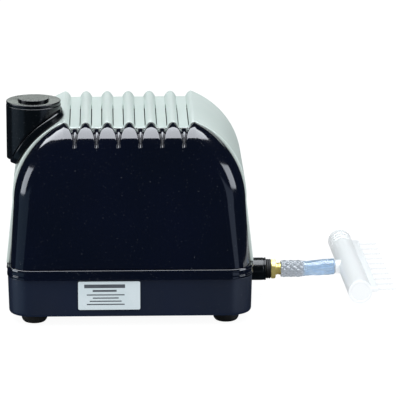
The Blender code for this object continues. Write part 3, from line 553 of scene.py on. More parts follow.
@dataclass(frozen=True)
class MouldedPlastic(Finish):
    """Moulded plastic: faint flow in the colour, fine grain, dust, and short scuffs."""

    roughness: float = 0.3
    roughness_spread: float = 0.08
    specular: float = 0.5
    grain_scale: float = 1400.0
    grain_depth: float = 0.00001
    ripple_depth: float = 0.00006
    dust: Colour = (0.30, 0.32, 0.34)
    dust_share: float = 0.5

    def cook(self, recipe: Recipe) -> None:
        """Colour from slow noise and specks of dust; roughness from smears; bump from ripple and grain.

        Args:
            recipe: the material to fill in.
        """
        flow = recipe.between(recipe.noise(11.0, 4.0), 0.3, 0.7)
        colour = recipe.mix(flow, self.colour, self.second)
        specks = recipe.between(recipe.noise(700.0, 2.0), 0.70, 0.78, 0.0, self.dust_share)
        colour = recipe.mix(specks, colour, self.dust)
        recipe.drive("Base Color", colour)
        smears = recipe.noise(26.0, 5.0, recipe.stretched((1.0, 1.0, 0.35)))
        scuffs = recipe.noise(90.0, 2.0, recipe.stretched((0.25, 1.0, 4.0)))
        rough = recipe.between(smears, 0.3, 0.75, self.roughness, self.roughness + self.roughness_spread)
        rough = recipe.sum_of("ADD", rough, recipe.between(scuffs, 0.66, 0.74, 0.0, 0.06))
        recipe.drive("Roughness", recipe.sum_of("ADD", rough, recipe.sum_of("MULTIPLY", specks, 0.3)))
        recipe.set(specular_ior_level=self.specular)
        ripple = recipe.bump(recipe.noise(38.0, 2.0), self.ripple_depth)
        grain = recipe.bump(recipe.noise(self.grain_scale, 2.0), self.grain_depth, ripple)
        recipe.drive("Normal", grain)


@dataclass(frozen=True)
class Rubber(Finish):
    """Moulded rubber: dull, finely pitted, paler where it has rubbed."""

    roughness: float = 0.62
    pit_depth: float = 0.00004

    def cook(self, recipe: Recipe) -> None:
        """Colour from worn patches, bump from fine pits.

        Args:
            recipe: the material to fill in.
        """
        worn = recipe.between(recipe.noise(60.0, 5.0), 0.52, 0.72)
        recipe.drive("Base Color", recipe.mix(worn, self.colour, self.second))
        recipe.drive("Roughness", recipe.between(worn, 0.0, 1.0, self.roughness, self.roughness + 0.15))
        recipe.set(specular_ior_level=0.35)
        pits = recipe.bump(recipe.noise(1600.0, 3.0), self.pit_depth)
        recipe.drive("Normal", recipe.bump(recipe.noise(220.0, 2.0), self.pit_depth, pits))


class Marks(Enum):
    """How a metal piece was made, which sets the marks on it."""

    TURNED_X = (1.0, 0.02, 0.02)
    TURNED_Z = (0.02, 0.02, 1.0)
    CAST = (1.0, 1.0, 1.0)


@dataclass(frozen=True)
class Metal(Finish):
    """Metal, bare or with a share of dull skin on it, with the marks of the tool that made it."""

    roughness: float = 0.28
    marks: Marks = Marks.CAST
    mark_depth: float = 0.00002
    bare: float = 1.0

    def cook(self, recipe: Recipe) -> None:
        """Colour and roughness from dull spots; bump from noise stretched along the tool's path.

        Args:
            recipe: the material to fill in.
        """
        dull = recipe.between(recipe.noise(140.0, 5.0), 0.45, 0.75)
        recipe.drive("Base Color", recipe.mix(dull, self.colour, self.second))
        lines = recipe.noise(2600.0, 3.0, recipe.stretched(self.marks.value))
        rough = recipe.between(dull, 0.0, 1.0, self.roughness, self.roughness + 0.2)
        recipe.drive("Roughness", recipe.sum_of("ADD", rough, recipe.between(lines, 0.3, 0.7, -0.04, 0.06)))
        recipe.set(metallic=self.bare)
        recipe.drive("Normal", recipe.bump(lines, self.mark_depth))


@dataclass(frozen=True)
class ClearTube(Finish):
    """Soft clear tube with a tint, faint draw lines along it, and silvery where it is stretched.

    Attributes:
        body: share of the light that does not pass.
        bloom: colour where it is stretched.
        bloom_body: share of the light that does not pass there.
        bloom_reach: where along X the stretch fades out.
    """

    body: float = 0.45
    bloom: Colour = (0.52, 0.56, 0.62)
    bloom_body: float = 0.75
    bloom_reach: Pair = (0.0, 0.001)

    def cook(self, recipe: Recipe) -> None:
        """Tint from slow noise, blended to the bloom; bump from draw lines and soft waves.

        Args:
            recipe: the material to fill in.
        """
        cloud = recipe.between(recipe.noise(170.0, 4.0), 0.4, 0.7)
        tint = recipe.mix(cloud, self.colour, self.second)
        stretched = recipe.between(recipe.along("X"), *self.bloom_reach, 1.0, 0.0)
        recipe.drive("Base Color", recipe.mix(stretched, tint, self.bloom))
        passing = recipe.between(stretched, 0.0, 1.0, 1.0 - self.body, 1.0 - self.bloom_body)
        recipe.drive("Transmission Weight", passing)
        recipe.set(ior=1.42, specular_ior_level=0.6)
        recipe.drive("Roughness", recipe.between(cloud, 0.0, 1.0, 0.06, 0.22))
        draw = recipe.bump(recipe.noise(420.0, 2.0, recipe.stretched((0.08, 1.0, 1.0))), 0.00008)
        recipe.drive("Normal", recipe.bump(recipe.noise(150.0, 1.0), 0.0006, draw))


@dataclass(frozen=True)
class OpenFoam(Finish):
    """Open-cell filter foam: pale struts, with painted shade darkening the pores between them."""

    def cook(self, recipe: Recipe) -> None:
        """Pores are the far parts of scattered cells, 1.2 mm apart. Their dark colour is painted shade, and
        the same value sinks them in the bump.

        Args:
            recipe: the material to fill in.
        """
        pore_shade_and_relief = recipe.between(recipe.cells(800.0), 0.2, 0.7)
        # The darker colour in the pores is painted shade; the struts keep the paler colour.
        recipe.drive("Base Color", recipe.mix(pore_shade_and_relief, self.second, self.colour))
        recipe.set(roughness=0.95, specular_ior_level=0.1)
        recipe.drive("Normal", recipe.bump(pore_shade_and_relief, 0.0008))


@dataclass(frozen=True)
class Laminations(Finish):
    """A stack of thin iron sheets, with a line between each two."""

    sheet_phase: float = 1000.0
    direction: str = "X"

    def cook(self, recipe: Recipe) -> None:
        """Bands across one axis darken the joints and cut them in.

        Args:
            recipe: the material to fill in.
        """
        joint = recipe.between(recipe.bands(self.direction, self.sheet_phase / 20, 0.3), 0.0, 0.35)
        recipe.drive("Base Color", recipe.mix(joint, self.second, self.colour))
        recipe.set(metallic=0.8, roughness=0.48)
        recipe.drive("Normal", recipe.bump(joint, 0.00012))


@dataclass(frozen=True)
class Winding(Finish):
    """Enamelled copper wire, wound close, each turn showing."""

    wire_phase: float = 1600.0

    def cook(self, recipe: Recipe) -> None:
        """Bands across the winding make the wires; slow noise varies the enamel.

        Args:
            recipe: the material to fill in.
        """
        wires = recipe.bands("Z", self.wire_phase / 20, 0.6)
        enamel = recipe.between(recipe.noise(90.0, 3.0), 0.35, 0.7)
        recipe.drive("Base Color", recipe.mix(enamel, self.colour, self.second))
        recipe.set(metallic=0.85, roughness=0.3, coat_weight=0.6)
        recipe.drive("Normal", recipe.bump(wires, 0.0002))


@dataclass(frozen=True)
class LabelFilm(Finish):
    """Printed plastic film with a satin face and a fine weave of texture."""

    def cook(self, recipe: Recipe) -> None:
        """Faint yellowing, and a fine bump.

        Args:
            recipe: the material to fill in.
        """
        aged = recipe.between(recipe.noise(45.0, 4.0), 0.4, 0.7)
        recipe.drive("Base Color", recipe.mix(aged, self.colour, self.second))
        recipe.drive("Roughness", recipe.between(aged, 0.0, 1.0, 0.38, 0.5))
        recipe.drive("Normal", recipe.bump(recipe.noise(2400.0, 2.0), 0.000012))


class Finishes:
    """Every finish on the pump, by the name that a workshop would use."""

    NAVY_GLOSS = MouldedPlastic("navy_gloss", shade(8, 13, 29), shade(7, 12, 24), roughness=0.07,
                                roughness_spread=0.05, grain_depth=0.0, ripple_depth=0.00004, dust_share=0.25)
    NAVY_SATIN = MouldedPlastic("navy_satin", shade(15, 27, 51), shade(12, 25, 46), roughness=0.34,
                                grain_depth=0.00002, dust_share=0.2)
    SHELL = MouldedPlastic("shell_plastic", shade(208, 219, 214), shade(201, 213, 208), roughness=0.38,
                           dust=(0.35, 0.35, 0.33), dust_share=0.15, grain_depth=0.000015)
    BLACK = MouldedPlastic("black_plastic", shade(7, 12, 17), shade(5, 9, 13), roughness=0.15,
                           roughness_spread=0.07, specular=0.32, grain_depth=0.00001, dust_share=0.3)
    WHITE = MouldedPlastic("white_plastic", shade(251, 252, 253), shade(248, 250, 252), roughness=0.35,
                           dust=(0.5, 0.5, 0.5), dust_share=0.1, grain_depth=0.000008)
    TANK = MouldedPlastic("tank_plastic", shade(58, 60, 64), shade(50, 52, 57), roughness=0.5,
                          grain_depth=0.00003)
    RUBBER = Rubber("black_rubber", shade(11, 13, 14), shade(24, 25, 26))
    DIAPHRAGM = Rubber("diaphragm_rubber", shade(44, 40, 38), shade(58, 54, 50), roughness=0.5)
    BRASS = Metal("brass", shade(204, 187, 112), shade(160, 142, 80), roughness=0.3, marks=Marks.TURNED_X,
                  bare=0.45)
    STEEL = Metal("steel", shade(186, 188, 190), shade(140, 143, 146), roughness=0.3, marks=Marks.TURNED_Z)
    ALUMINIUM = Metal("aluminium", shade(196, 198, 200), shade(164, 167, 170), roughness=0.42)
    MAGNET = Metal("magnet", shade(92, 94, 98), shade(70, 72, 76), roughness=0.45)
    IRON = Laminations("laminated_iron", shade(112, 112, 116), shade(42, 42, 46))
    COPPER = Winding("copper_winding", shade(188, 108, 62), shade(150, 78, 40))
    HOSE = ClearTube("clear_hose", shade(216, 236, 255), shade(198, 226, 254),
                     bloom_reach=(0.1785 + PUMP_ORIGIN[0], 0.1825 + PUMP_ORIGIN[0]))
    # The second, darker colour is painted shade for the foam's pores.
    FOAM = OpenFoam("foam", shade(66, 68, 72), shade(16, 17, 18))
    LABEL = LabelFilm("label_film", shade(206, 217, 222), shade(199, 212, 217))
    PRINT = LabelFilm("label_film", shade(70, 76, 84), shade(84, 90, 98), label="print")


def set_piece(
    name: str, skin: Skin, finish: Finish, *nodes: str, body: str = "root", sharp: float = 35.0
) -> bpy.types.Object:
    """Makes a piece from its skin, gives it its finish, hangs it on its body and hides the CAD nodes that it
    replaces.

    Args:
        name: the piece's name.
        skin: its surface.
        finish: its finish, whose slot starts the material's name too.
        nodes: the CAD nodes that it replaces.
        body: the CAD body that it rides on.
        sharp: the angle in degrees past which an edge shows.

    Returns:
        The object.
    """
    mesh = skin.mesh(name, sharp)
    mesh.materials.append(finish.material())
    piece = bpy.data.objects.new(name, mesh)
    bpy.context.scene.collection.objects.link(piece)
    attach(piece, body)
    if nodes:
        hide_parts(*nodes)
    LOG.info("%s: %d faces, on %s", name, len(mesh.polygons), body)
    return piece


# --- Housing --------------------------------------------------------------------------------------


@dataclass(frozen=True)
class Outline:
    """The housing seen from the front, from its right foot over the top to its left foot.

    Attributes:
        place: X and Z of each point, along the crests of the ridges.
        inward: the way into the housing there.
        groove: depth of the shell's grooves below the crests.
        off_flute: distance from the middle of the nearest groove, on the ridged top.
        edge: size of an end cap's edge rounding.
        ridged: 1 on the ridged top and 0 on the flanks.
        proud: how far the middle shell stands out past the end caps.
    """

    place: Array
    inward: Array
    groove: Array
    off_flute: Array
    edge: Array
    ridged: Array
    proud: Array

    def moved(self, inset: Array) -> Array:
        """X and Z of the points after a move inwards, for insets of any number of rows."""
        return self.place + self.inward * np.asarray(inset)[..., None]


@dataclass(frozen=True)
class Housing:
    """The middle shell and the two end caps."""

    seam_y: float = 0.0705
    cap_depth: float = 0.0295
    cap_straight: float = 0.0035
    edge_top: float = 0.026
    edge_foot: float = 0.018
    wall: float = 0.003
    foot_z: float = 0.060
    foot_half: float = 0.1212
    rear_sink: float = 0.0018
    shoulder_radius: float = 0.090
    shoulder_x: float = 0.0266
    shoulder_z: float = 0.124
    ridge_pitch: float = 0.0218
    ridges_each_side: int = 3
    ridge_height: float = 0.006
    ridge_half_width: float = 0.006
    ridge_power: float = 0.72
    flute_half_widths: Pair = (0.0095, 0.0024)
    flute_begins: float = math.radians(30)
    flute_narrow: float = math.radians(66)
    flute_fade: Pair = (math.radians(48), math.radians(88))
    proud_waist: float = 0.0012
    proud_foot: float = 0.0038
    proud_shoulder: float = 0.0016
    proud_crest: float = 0.0003
    slot_width: float = 0.0010
    slot_y: Pair = (-0.0645, 0.0265)
    slot_from_ridge: float = 0.0057

    @property
    def crest_angle(self) -> float:
        """Angle above the horizontal at which the shoulder meets the outermost ridge."""
        reach = self.ridges_each_side * self.ridge_pitch - self.shoulder_x
        return math.acos(reach / self.shoulder_radius)

    @property
    def crest_z(self) -> float:
        """Height of the ridges' crests."""
        return self.shoulder_z + self.shoulder_radius * math.sin(self.crest_angle)

    def shoulder_proud(self, angle: Array) -> Array:
        """How far the shell stands out on the shoulder: a sine swell on a straight fall to the crest.

        Args:
            angle: angle above the horizontal.

        Returns:
            The distances.
        """
        share = np.minimum(angle / self.crest_angle, 1.0)
        swell = self.proud_shoulder * np.sin(math.pi * share)
        return self.proud_waist + swell + (self.proud_crest - self.proud_waist) * share

    def shoulder_place(self, angle: Array, lift: Array | float) -> tuple[Array, Array]:
        """X and Z of points on the left shoulder, `lift` above the shell, by angle above the horizontal."""
        radius = self.shoulder_radius + self.shoulder_proud(angle) + lift
        return -self.shoulder_x - radius * np.cos(angle), self.shoulder_z + radius * np.sin(angle)

    def height_over_shoulder(self, x: Array, lift: float) -> Array:
        """Z of a surface `lift` above the left shoulder, at x.

        It is the circle's equation, worked out three times so that the radius follows the angle.

        Args:
            x: places along X.
            lift: height above the shell.

        Returns:
            The heights.
        """
        angle = np.full(np.shape(x), math.pi / 4)
        for _ in range(3):
            radius = self.shoulder_radius + self.shoulder_proud(angle) + lift
            rise = np.sqrt(np.maximum(radius**2 - (x + self.shoulder_x) ** 2, 1e-9))
            angle = np.arctan2(rise, -(x + self.shoulder_x))
        return self.shoulder_z + rise

    def ridge_offsets(self) -> Array:
        """Stations across half a ridge and half the groove beside it, close together on the steep flank.

        Returns:
            Distances from the ridge's middle.
        """
        slot_in = self.slot_from_ridge - self.slot_width / 2
        slot_out = self.slot_from_ridge + self.slot_width / 2
        crest = np.linspace(0.0, slot_in, 9)
        flank = slot_in + (self.ridge_half_width - slot_in) * np.array([0.35, 0.6, 0.8, 0.92, 1.0])
        floor = np.linspace(slot_out, self.ridge_pitch / 2, 10)
        return np.concatenate([crest, flank, floor])

    def outline(self) -> Outline:
        """Side line, shoulder arc, ridged top, and the first two mirrored.

        A ridge rises by its height times cos(90 degrees times the share of its half width) ^ power.

        Returns:
            The outline.
        """
        side = np.linspace(0.0, 1.0, 18, endpoint=False)
        arc = np.linspace(0.0, 1.0, 56)
        angle = self.crest_angle * arc
        waist = self.shoulder_x + self.shoulder_radius
        x = np.concatenate([self.foot_half + (waist - self.foot_half) * side,
                            self.shoulder_x + self.shoulder_radius * np.cos(angle)])
        z = np.concatenate([self.foot_z + (self.shoulder_z - self.foot_z) * side,
                            self.shoulder_z + self.shoulder_radius * np.sin(angle)])
        turn = np.concatenate([0 * side, math.pi / 2 * arc])
        climb = np.concatenate([side / 2, 0.5 + arc / 2])
        flank_edge = self.edge_foot + (self.edge_top - self.edge_foot) * climb
        flank_proud = np.concatenate([self.proud_foot + (self.proud_waist - self.proud_foot) * side,
                                      self.shoulder_proud(angle)])
        offsets = self.ridge_offsets()
        ridges = np.arange(-self.ridges_each_side, self.ridges_each_side + 1)[:, None] * self.ridge_pitch
        top_x = np.unique(np.round(np.concatenate([ridges + offsets, ridges - offsets]).ravel(), 7))[::-1]
        top_x = top_x[np.abs(top_x) < self.ridges_each_side * self.ridge_pitch - MERGE]
        from_ridge = np.abs(top_x - np.round(top_x / self.ridge_pitch) * self.ridge_pitch)
        share = np.minimum(from_ridge / self.ridge_half_width, 1.0)
        rise = self.ridge_height * np.maximum(np.cos(math.pi / 2 * share), 0.0) ** self.ridge_power
        flank = np.stack([x, z], axis=-1)
        top = np.stack([top_x, np.full(len(top_x), self.crest_z)], axis=-1)
        inward = np.stack([-np.cos(turn), -np.sin(turn)], axis=-1)
        mirror = np.array([-1.0, 1.0])
        none, many = np.zeros(len(x)), len(top_x)
        return Outline(
            place=np.concatenate([flank, top, flank[::-1] * mirror]),
            inward=np.concatenate([inward, np.tile([0.0, -1.0], (many, 1)), inward[::-1] * mirror]),
            groove=np.concatenate([none, self.ridge_height - rise, none]),
            off_flute=np.concatenate([none + 1, self.ridge_pitch / 2 - from_ridge, none + 1]),
            edge=np.concatenate([flank_edge, np.full(many, self.edge_top), flank_edge[::-1]]),
            ridged=np.concatenate([none, np.ones(many), none]),
            proud=np.concatenate([flank_proud, np.full(many, self.proud_crest), flank_proud[::-1]]),
        )

    def shell_skin(self) -> Skin:
        """The grooved outline carried from seam to seam, with rounded lips and open slots.

        Returns:
            The surface.
        """
        outline = self.outline()
        end = self.seam_y - GAP
        lip = np.array([0.0, 0.0003, 0.0008, 0.0016])
        slots = np.linspace(*self.slot_y, 9)
        y = np.concatenate([lip - end, slots, np.linspace(0.032, 0.062, 4), end - lip[::-1]])
        lip_inset = np.interp(end - np.abs(y), [0.0, 0.0003, 0.0008], [0.0008, 0.0003, 0.0])
        outer = self.carried(outline.moved(outline.groove - outline.proud + lip_inset[:, None]), y)
        inner_inset = self.wall + self.ridge_height * outline.ridged - outline.proud
        inner = self.carried(outline.moved(inner_inset + 0 * lip_inset[:, None]), y)
        x = (outline.place[1:, 0] + outline.place[:-1, 0]) / 2
        ridge = np.round(x / self.ridge_pitch)
        from_ridge = x - ridge * self.ridge_pitch
        in_slot = np.abs(np.abs(from_ridge) - self.slot_from_ridge) < self.slot_width / 2
        in_slot &= np.abs(x) < self.ridges_each_side * self.ridge_pitch
        middle = (y[1:] + y[:-1]) / 2
        along = (middle > self.slot_y[0]) & (middle < self.slot_y[1])
        return Skin().add_wall(outer, inner, ~(along[:, None] & in_slot[None]))

    @staticmethod
    def carried(places: Array, y: Array) -> Array:
        """Rows of (x, z) given their y."""
        depth = np.broadcast_to(y[:, None], places.shape[:2])
        return np.stack([places[..., 0], depth, places[..., 1]], axis=-1)

    def cap_skin(self, side: int) -> Skin:
        """An end cap: a quarter ellipse from seam to face, with the grooves sunk square to it and fading out.

        At a turn t, the inset is edge (1 - cos t) + groove cos t, and the depth is the straight part plus
        (cap depth - straight - groove) sin t. In front, the grooves become flutes of the ridges' height times
        cos(90 degrees times the share of a shrinking half width) ^ 2. The face hangs down from the rounding.

        Args:
            side: -1 for the front, 1 for the rear.

        Returns:
            The surface.
        """
        outline = self.outline()
        turn = np.radians(np.linspace(0.0, 90.0, 61))[:, None]
        groove = np.broadcast_to(outline.groove, (len(turn), len(outline.groove)))
        if side > 0:
            outline = replace(outline, place=outline.moved(self.rear_sink))
        else:
            wide, narrow = self.flute_half_widths
            half_width = wide + (narrow - wide) * smooth_step(turn, 0.0, self.flute_narrow)
            share = np.minimum(outline.off_flute / half_width, 1.0)
            flute = self.ridge_height * np.cos(math.pi / 2 * share) ** 2
            groove = groove + (flute - groove) * smooth_step(turn, 0.0, self.flute_begins)
        groove = groove * (1 - smooth_step(turn, *self.flute_fade))
        inset = outline.edge * (1 - np.cos(turn)) + groove * np.cos(turn)
        depth = self.seam_y + self.cap_straight + (self.cap_depth - self.cap_straight - groove) * np.sin(turn)
        lip_inset = outline.groove + np.array([[0.0006], [0.0002], [0.0]])
        lip_depth = self.seam_y + np.array([[0.0], [0.0002], [0.0007]]) + 0 * outline.groove
        whole_inset, whole_depth = np.concatenate([lip_inset, inset]), np.concatenate([lip_depth, depth])
        outer = self.swept(outline, whole_inset, whole_depth, side)
        behind = self.wall + self.ridge_height * outline.ridged
        behind = behind + (outline.edge - self.wall) * (1 - np.cos(turn))
        behind_depth = self.seam_y + (self.cap_depth - self.wall) * np.sin(turn) + 0 * outline.groove
        inner_inset = np.concatenate([np.repeat(behind[:1], 3, axis=0), behind])
        inner_depth = np.concatenate([lip_depth, np.maximum(behind_depth, lip_depth[-1:])])
        inner = self.swept(outline, inner_inset, inner_depth, side)
        return Skin().add_wall(self.with_face(outer), self.with_face(inner))

    @staticmethod
    def swept(outline: Outline, inset: Array, depth: Array, side: int) -> Array:
        """Grid of points from insets and depths, on the front (-1) or the rear (1)."""
        places = outline.moved(inset)
        return np.stack([places[..., 0], side * depth, places[..., 1]], axis=-1)

    def with_face(self, sheet: Array) -> Array:
        """Adds the face: each point of the last row is drawn straight down to the foot.

        Args:
            sheet: grid whose last row is the face's edge.

        Returns:
            The grid with the face's rows added.
        """
        share = np.linspace(0.0, 1.0, 16)[1:, None]
        face = np.repeat(sheet[-1:], len(share), axis=0)
        face[..., 2] += (self.foot_z - face[..., 2]) * share
        return np.concatenate([sheet, face])

    def build(self) -> None:
        """Makes the three covers."""
        set_piece("cover_shell_skin", self.shell_skin(), Finishes.SHELL, "cover_shell", sharp=32.0)
        for name, side in ENDS:
            cap = self.cap_skin(side)
            set_piece(f"end_cap_{name}_skin", cap, Finishes.NAVY_GLOSS, f"end_cap_{name}", sharp=50.0)


# --- Base -----------------------------------------------------------------------------------------


@dataclass(frozen=True)
class Base:
    """The tray, the band round its rim, its feet, its label and the cord gland."""

    half_x: float = 0.1235
    half_y: float = 0.0987
    corner: float = 0.024
    bottom_z: float = 0.0098
    top_z: float = 0.0488
    edge: float = 0.004
    draft: float = 0.0010
    wall: float = 0.003
    rim_half_x: float = 0.1224
    rim_half_y: float = 0.1002
    cover_foot_z: float = 0.060
    foot_x: float = 0.097
    foot_y: float = 0.075
    foot_radius: float = 0.0133
    foot_flat_radius: float = 0.0100
    post_x: float = 0.078
    post_y: float = 0.060
    post_top_z: float = 0.044
    boss_top_z: float = 0.034
    label_centre: Pair = (-0.0213, 0.0328)
    label_half: Pair = (0.0312, 0.01475)
    label_thickness: float = 0.0006
    gland_x: float = -0.044
    gland_z: float = 0.030

    def ring(self, inset: Array, z: Array, half: Pair, scale: Array | float = 1.0) -> Array:
        """Rounded rectangles at these insets and heights, scaled towards the middle.

        Args:
            inset: how far inside the full size, for each row.
            z: height of each row.
            half: half sizes along X and Y.
            scale: share of the size, towards the middle.

        Returns:
            Grid of points, ring by angle.
        """
        corner = np.maximum(self.corner - inset, 0.001)
        x, y = rounded_rectangle(half[0] - inset, half[1] - inset, corner)
        scale = np.broadcast_to(scale, np.shape(inset))[:, None]
        return np.stack([x * scale, y * scale, np.broadcast_to(z[:, None], x.shape)], axis=-1)

    def tray_skin(self) -> Skin:
        """Bottom, rounded edge, drafted wall, rim, inner wall and floor, with bosses and posts.

        Returns:
            The surface.
        """
        low = self.draft
        outside = filleted([
            (low + 0.020, self.bottom_z, 0.0), (low, self.bottom_z, self.edge), (0.0, self.top_z, 0.0008),
            (self.wall, self.top_z, 0.0005), (low + self.wall + 0.001, self.bottom_z + self.wall, 0.003),
            (low + 0.020, self.bottom_z + self.wall, 0.0),
        ], steps=10)
        reach = outside[0, 0]
        middle = np.array([[reach, self.bottom_z]] * 3 + [[reach, self.bottom_z + self.wall]] * 3)
        profile = np.concatenate([middle[:3], outside, middle[3:]])
        scale = np.concatenate([[0.0, 0.4, 0.8], np.ones(len(outside)), [0.8, 0.4, 0.0]])
        skin = Skin().add(self.ring(profile[:, 0], profile[:, 1], (self.half_x, self.half_y), scale))
        floor = self.bottom_z + self.wall / 2
        boss = filleted([
            (0.0, floor, 0), (0.0062, floor, 0), (0.0058, self.boss_top_z, 0.0005),
            (0.0026, self.boss_top_z, 0.0003), (0.0026, floor + 0.001, 0), (0.0, floor + 0.001, 0),
        ])
        post = filleted([
            (0.0, floor, 0), (0.0072, floor, 0), (0.0068, self.post_top_z, 0.0006),
            (0.0, self.post_top_z, 0),
        ])
        for profile, where in ((boss, (self.foot_x, self.foot_y)), (post, (self.post_x, self.post_y))):
            for x, y in four_places(*where):
                skin.add(turned(profile, Axis.Z, (x, y, 0), 32))
        return skin

    def rim_skin(self) -> Skin:
        """A band with a round bead along its top, a shallow waist and a smaller bead at its foot.

        Returns:
            The surface.
        """
        low, high = self.top_z + GAP, self.cover_foot_z - GAP
        profile = filleted([
            (0.0040, low, 0.0004), (0.0000, low, 0.0003), (-0.0016, low + 0.0003, 0.0008),
            (-0.0019, low + 0.0024, 0.0006), (-0.0012, low + 0.0036, 0.0005),
            (-0.0014, high - 0.0036, 0.0010), (-0.0022, high - 0.0026, 0.0010),
            (-0.0016, high - 0.0004, 0.0012), (-0.0002, high, 0.0008), (0.0040, high, 0.0004),
        ], closed=True)
        grid = self.ring(profile[:, 0], profile[:, 1], (self.rim_half_x, self.rim_half_y))
        return Skin().add(grid, closed=True)

    def foot_skin(self, x: float, y: float) -> Skin:
        """A bowl-shaped pad with a counterbore for its screw.

        Args:
            x: its place along X.
            y: its place along Y.

        Returns:
            The surface.
        """
        top = self.bottom_z - GAP
        radius = self.foot_radius
        profile = filleted([
            (0.0026, top, 0.0002), (radius - 0.0003, top, 0.0008), (radius, 0.0058, 0.0014),
            (radius - 0.0005, 0.0034, 0.0016), (radius - 0.0016, 0.0014, 0.0014),
            (self.foot_flat_radius, 0.0, 0.0012), (0.0056, 0.0, 0.0006), (0.0056, 0.006, 0.0004),
            (0.0026, 0.006, 0.0003),
        ], closed=True)
        return Skin().add(turned(profile, Axis.Z, (x, y, 0), 72), closed=True)

    @staticmethod
    def screw_skin(x: float, y: float) -> Skin:
        """A pan head with a cross recess, on a threaded shank.

        The recess sinks the head's face where |x| or |y| is under half a blade's width, less so outwards.

        Args:
            x: its place along X.
            y: its place along Y.

        Returns:
            The surface.
        """
        face = filleted([
            (0.0, 0.0024, 0), (0.0030, 0.0024, 0.001), (0.0046, 0.0034, 0.0012), (0.0046, 0.0057, 0.0003),
            (0.0022, 0.0057, 0.0002), (0.0022, 0.0080, 0),
        ], steps=8)
        flat = np.stack([np.linspace(0.0, 0.0028, 12), np.full(12, 0.0024)], axis=-1)
        head = np.concatenate([flat, face[2:]])
        grid = turned(head, Axis.Z, (0, 0, 0), 96)
        across = np.minimum(np.abs(grid[..., 0]), np.abs(grid[..., 1]))
        reach = np.hypot(grid[..., 0], grid[..., 1])
        recess = (1 - smooth_step(across, 0.0004, 0.0007)) * (1 - smooth_step(reach, 0.0014, 0.0027))
        grid[..., 2] += 0.0014 * recess * (grid[..., 2] < 0.004)
        turns = np.linspace(0.0, 1.0, 120)
        ridge = 0.0004 * np.abs((turns * 20) % 1 * 2 - 1)
        thread = np.stack([0.0021 - ridge, 0.0079 + 0.0221 * turns], axis=-1)
        shank = turned(np.concatenate([thread, [[0.0, 0.030]]]), Axis.Z, (0, 0, 0), 24)
        closing = turned(np.array([[0.0, 0.0079], [0.0021, 0.0079]]), Axis.Z, (0, 0, 0), 24)
        skin = Skin().add(grid + (x, y, 0))
        skin.add(turned(np.array([[0.0022, 0.0080], [0.0, 0.0080]]), Axis.Z, (x, y, 0), 96))
        skin.add(np.concatenate([closing, shank]) + (x, y, 0))
        return skin

    def label_skin(self) -> Skin:
        """A thin plate with round corners, its rings shrinking to the middle of each face.

        Returns:
            The surface.
        """
        centre_x, centre_z = self.label_centre
        half_x, half_z = self.label_half
        inset = np.array([0.014, 0.0006, 0.0001, 0.0, 0.0, 0.0001, 0.0006, 0.014])
        thick = self.label_thickness
        depth = np.array([0.0, 0.0, 0.0, 0.0001, thick - 0.0001, thick, thick, thick])
        x, z = rounded_rectangle(half_x - inset, half_z - inset, np.maximum(0.0016 - inset, 0.0001), 6)
        x[[0, -1]] = 0.0
        z[[0, -1]] = 0.0
        y = np.broadcast_to(-self.half_y - GAP - depth[:, None], x.shape)
        return Skin().add(np.stack([x + centre_x, y, z + centre_z], axis=-1))

    def print_skin(self) -> Skin:
        """Plain printed bars on the label: a heading, a line below it and four rules.

        Returns:
            The surface.
        """
        centre_x, centre_z = self.label_centre
        face = -self.half_y - GAP - self.label_thickness
        bars = [(-0.0045, 0.0098, 0.0205, 0.0019), (-0.0045, 0.0050, 0.0120, 0.0010)]
        rules = (0.019, 0.013, 0.016, 0.019)
        bars += [(-0.0035, 0.0008 - 0.0033 * row, half, 0.0006) for row, half in enumerate(rules)]
        skin = Skin()
        for x, z, half_x, half_z in bars:
            low = (centre_x + x - half_x, face - 0.00006, centre_z + z - half_z)
            high = (centre_x + x + half_x, face + 0.0002, centre_z + z + half_z)
            skin.add(block(low, high, 0.00005))
        return skin

    def gland_skin(self) -> Skin:
        """The cord's entry: a bored flange and a tapered, ringed snout.

        Returns:
            The surface.
        """
        wall = self.half_y
        profile = [(0.0036, 0.088, 0.0003), (0.0076, 0.088, 0.0005), (0.0076, wall + GAP, 0.0002),
                   (0.0110, wall + GAP, 0.0003), (0.0110, wall + 0.003, 0.0010)]
        profile += [(0.0082 - 0.0007 * ring, wall + 0.0042 + 0.0024 * ring, 0.0004) for ring in range(3)]
        profile += [(0.0058, wall + 0.012, 0.0010), (0.0036, wall + 0.012, 0.0004)]
        grid = turned(filleted(profile, closed=True), Axis.Y, (self.gland_x, 0, self.gland_z), 72)
        return Skin().add(grid, closed=True)

    def build(self) -> None:
        """Makes the base and what is on it."""
        set_piece("base_tray_skin", self.tray_skin(), Finishes.NAVY_SATIN, "base_tray")
        set_piece("rim_band_skin", self.rim_skin(), Finishes.NAVY_GLOSS, "rim_band")
        for (x, y), name in zip(four_places(self.foot_x, self.foot_y), FOUR_NAMES):
            set_piece(f"foot_{name}_skin", self.foot_skin(x, y), Finishes.RUBBER, f"foot_{name}")
            set_piece(f"foot_screw_{name}_skin", self.screw_skin(x, y), Finishes.STEEL, f"foot_screw_{name}")
        set_piece("rating_label_skin", self.label_skin(), Finishes.LABEL, "rating_label")
        set_piece("rating_label_print", self.print_skin(), Finishes.PRINT)
        set_piece("cable_gland_skin", self.gland_skin(), Finishes.RUBBER, "cable_gland")


def four_places(x: float, y: float) -> list[Pair]:
    """The four corners at these distances from the middle, in the order of FOUR_NAMES."""
    return [(-x, -y), (x, -y), (-x, y), (x, y)]


# --- Intake filter --------------------------------------------------------------------------------


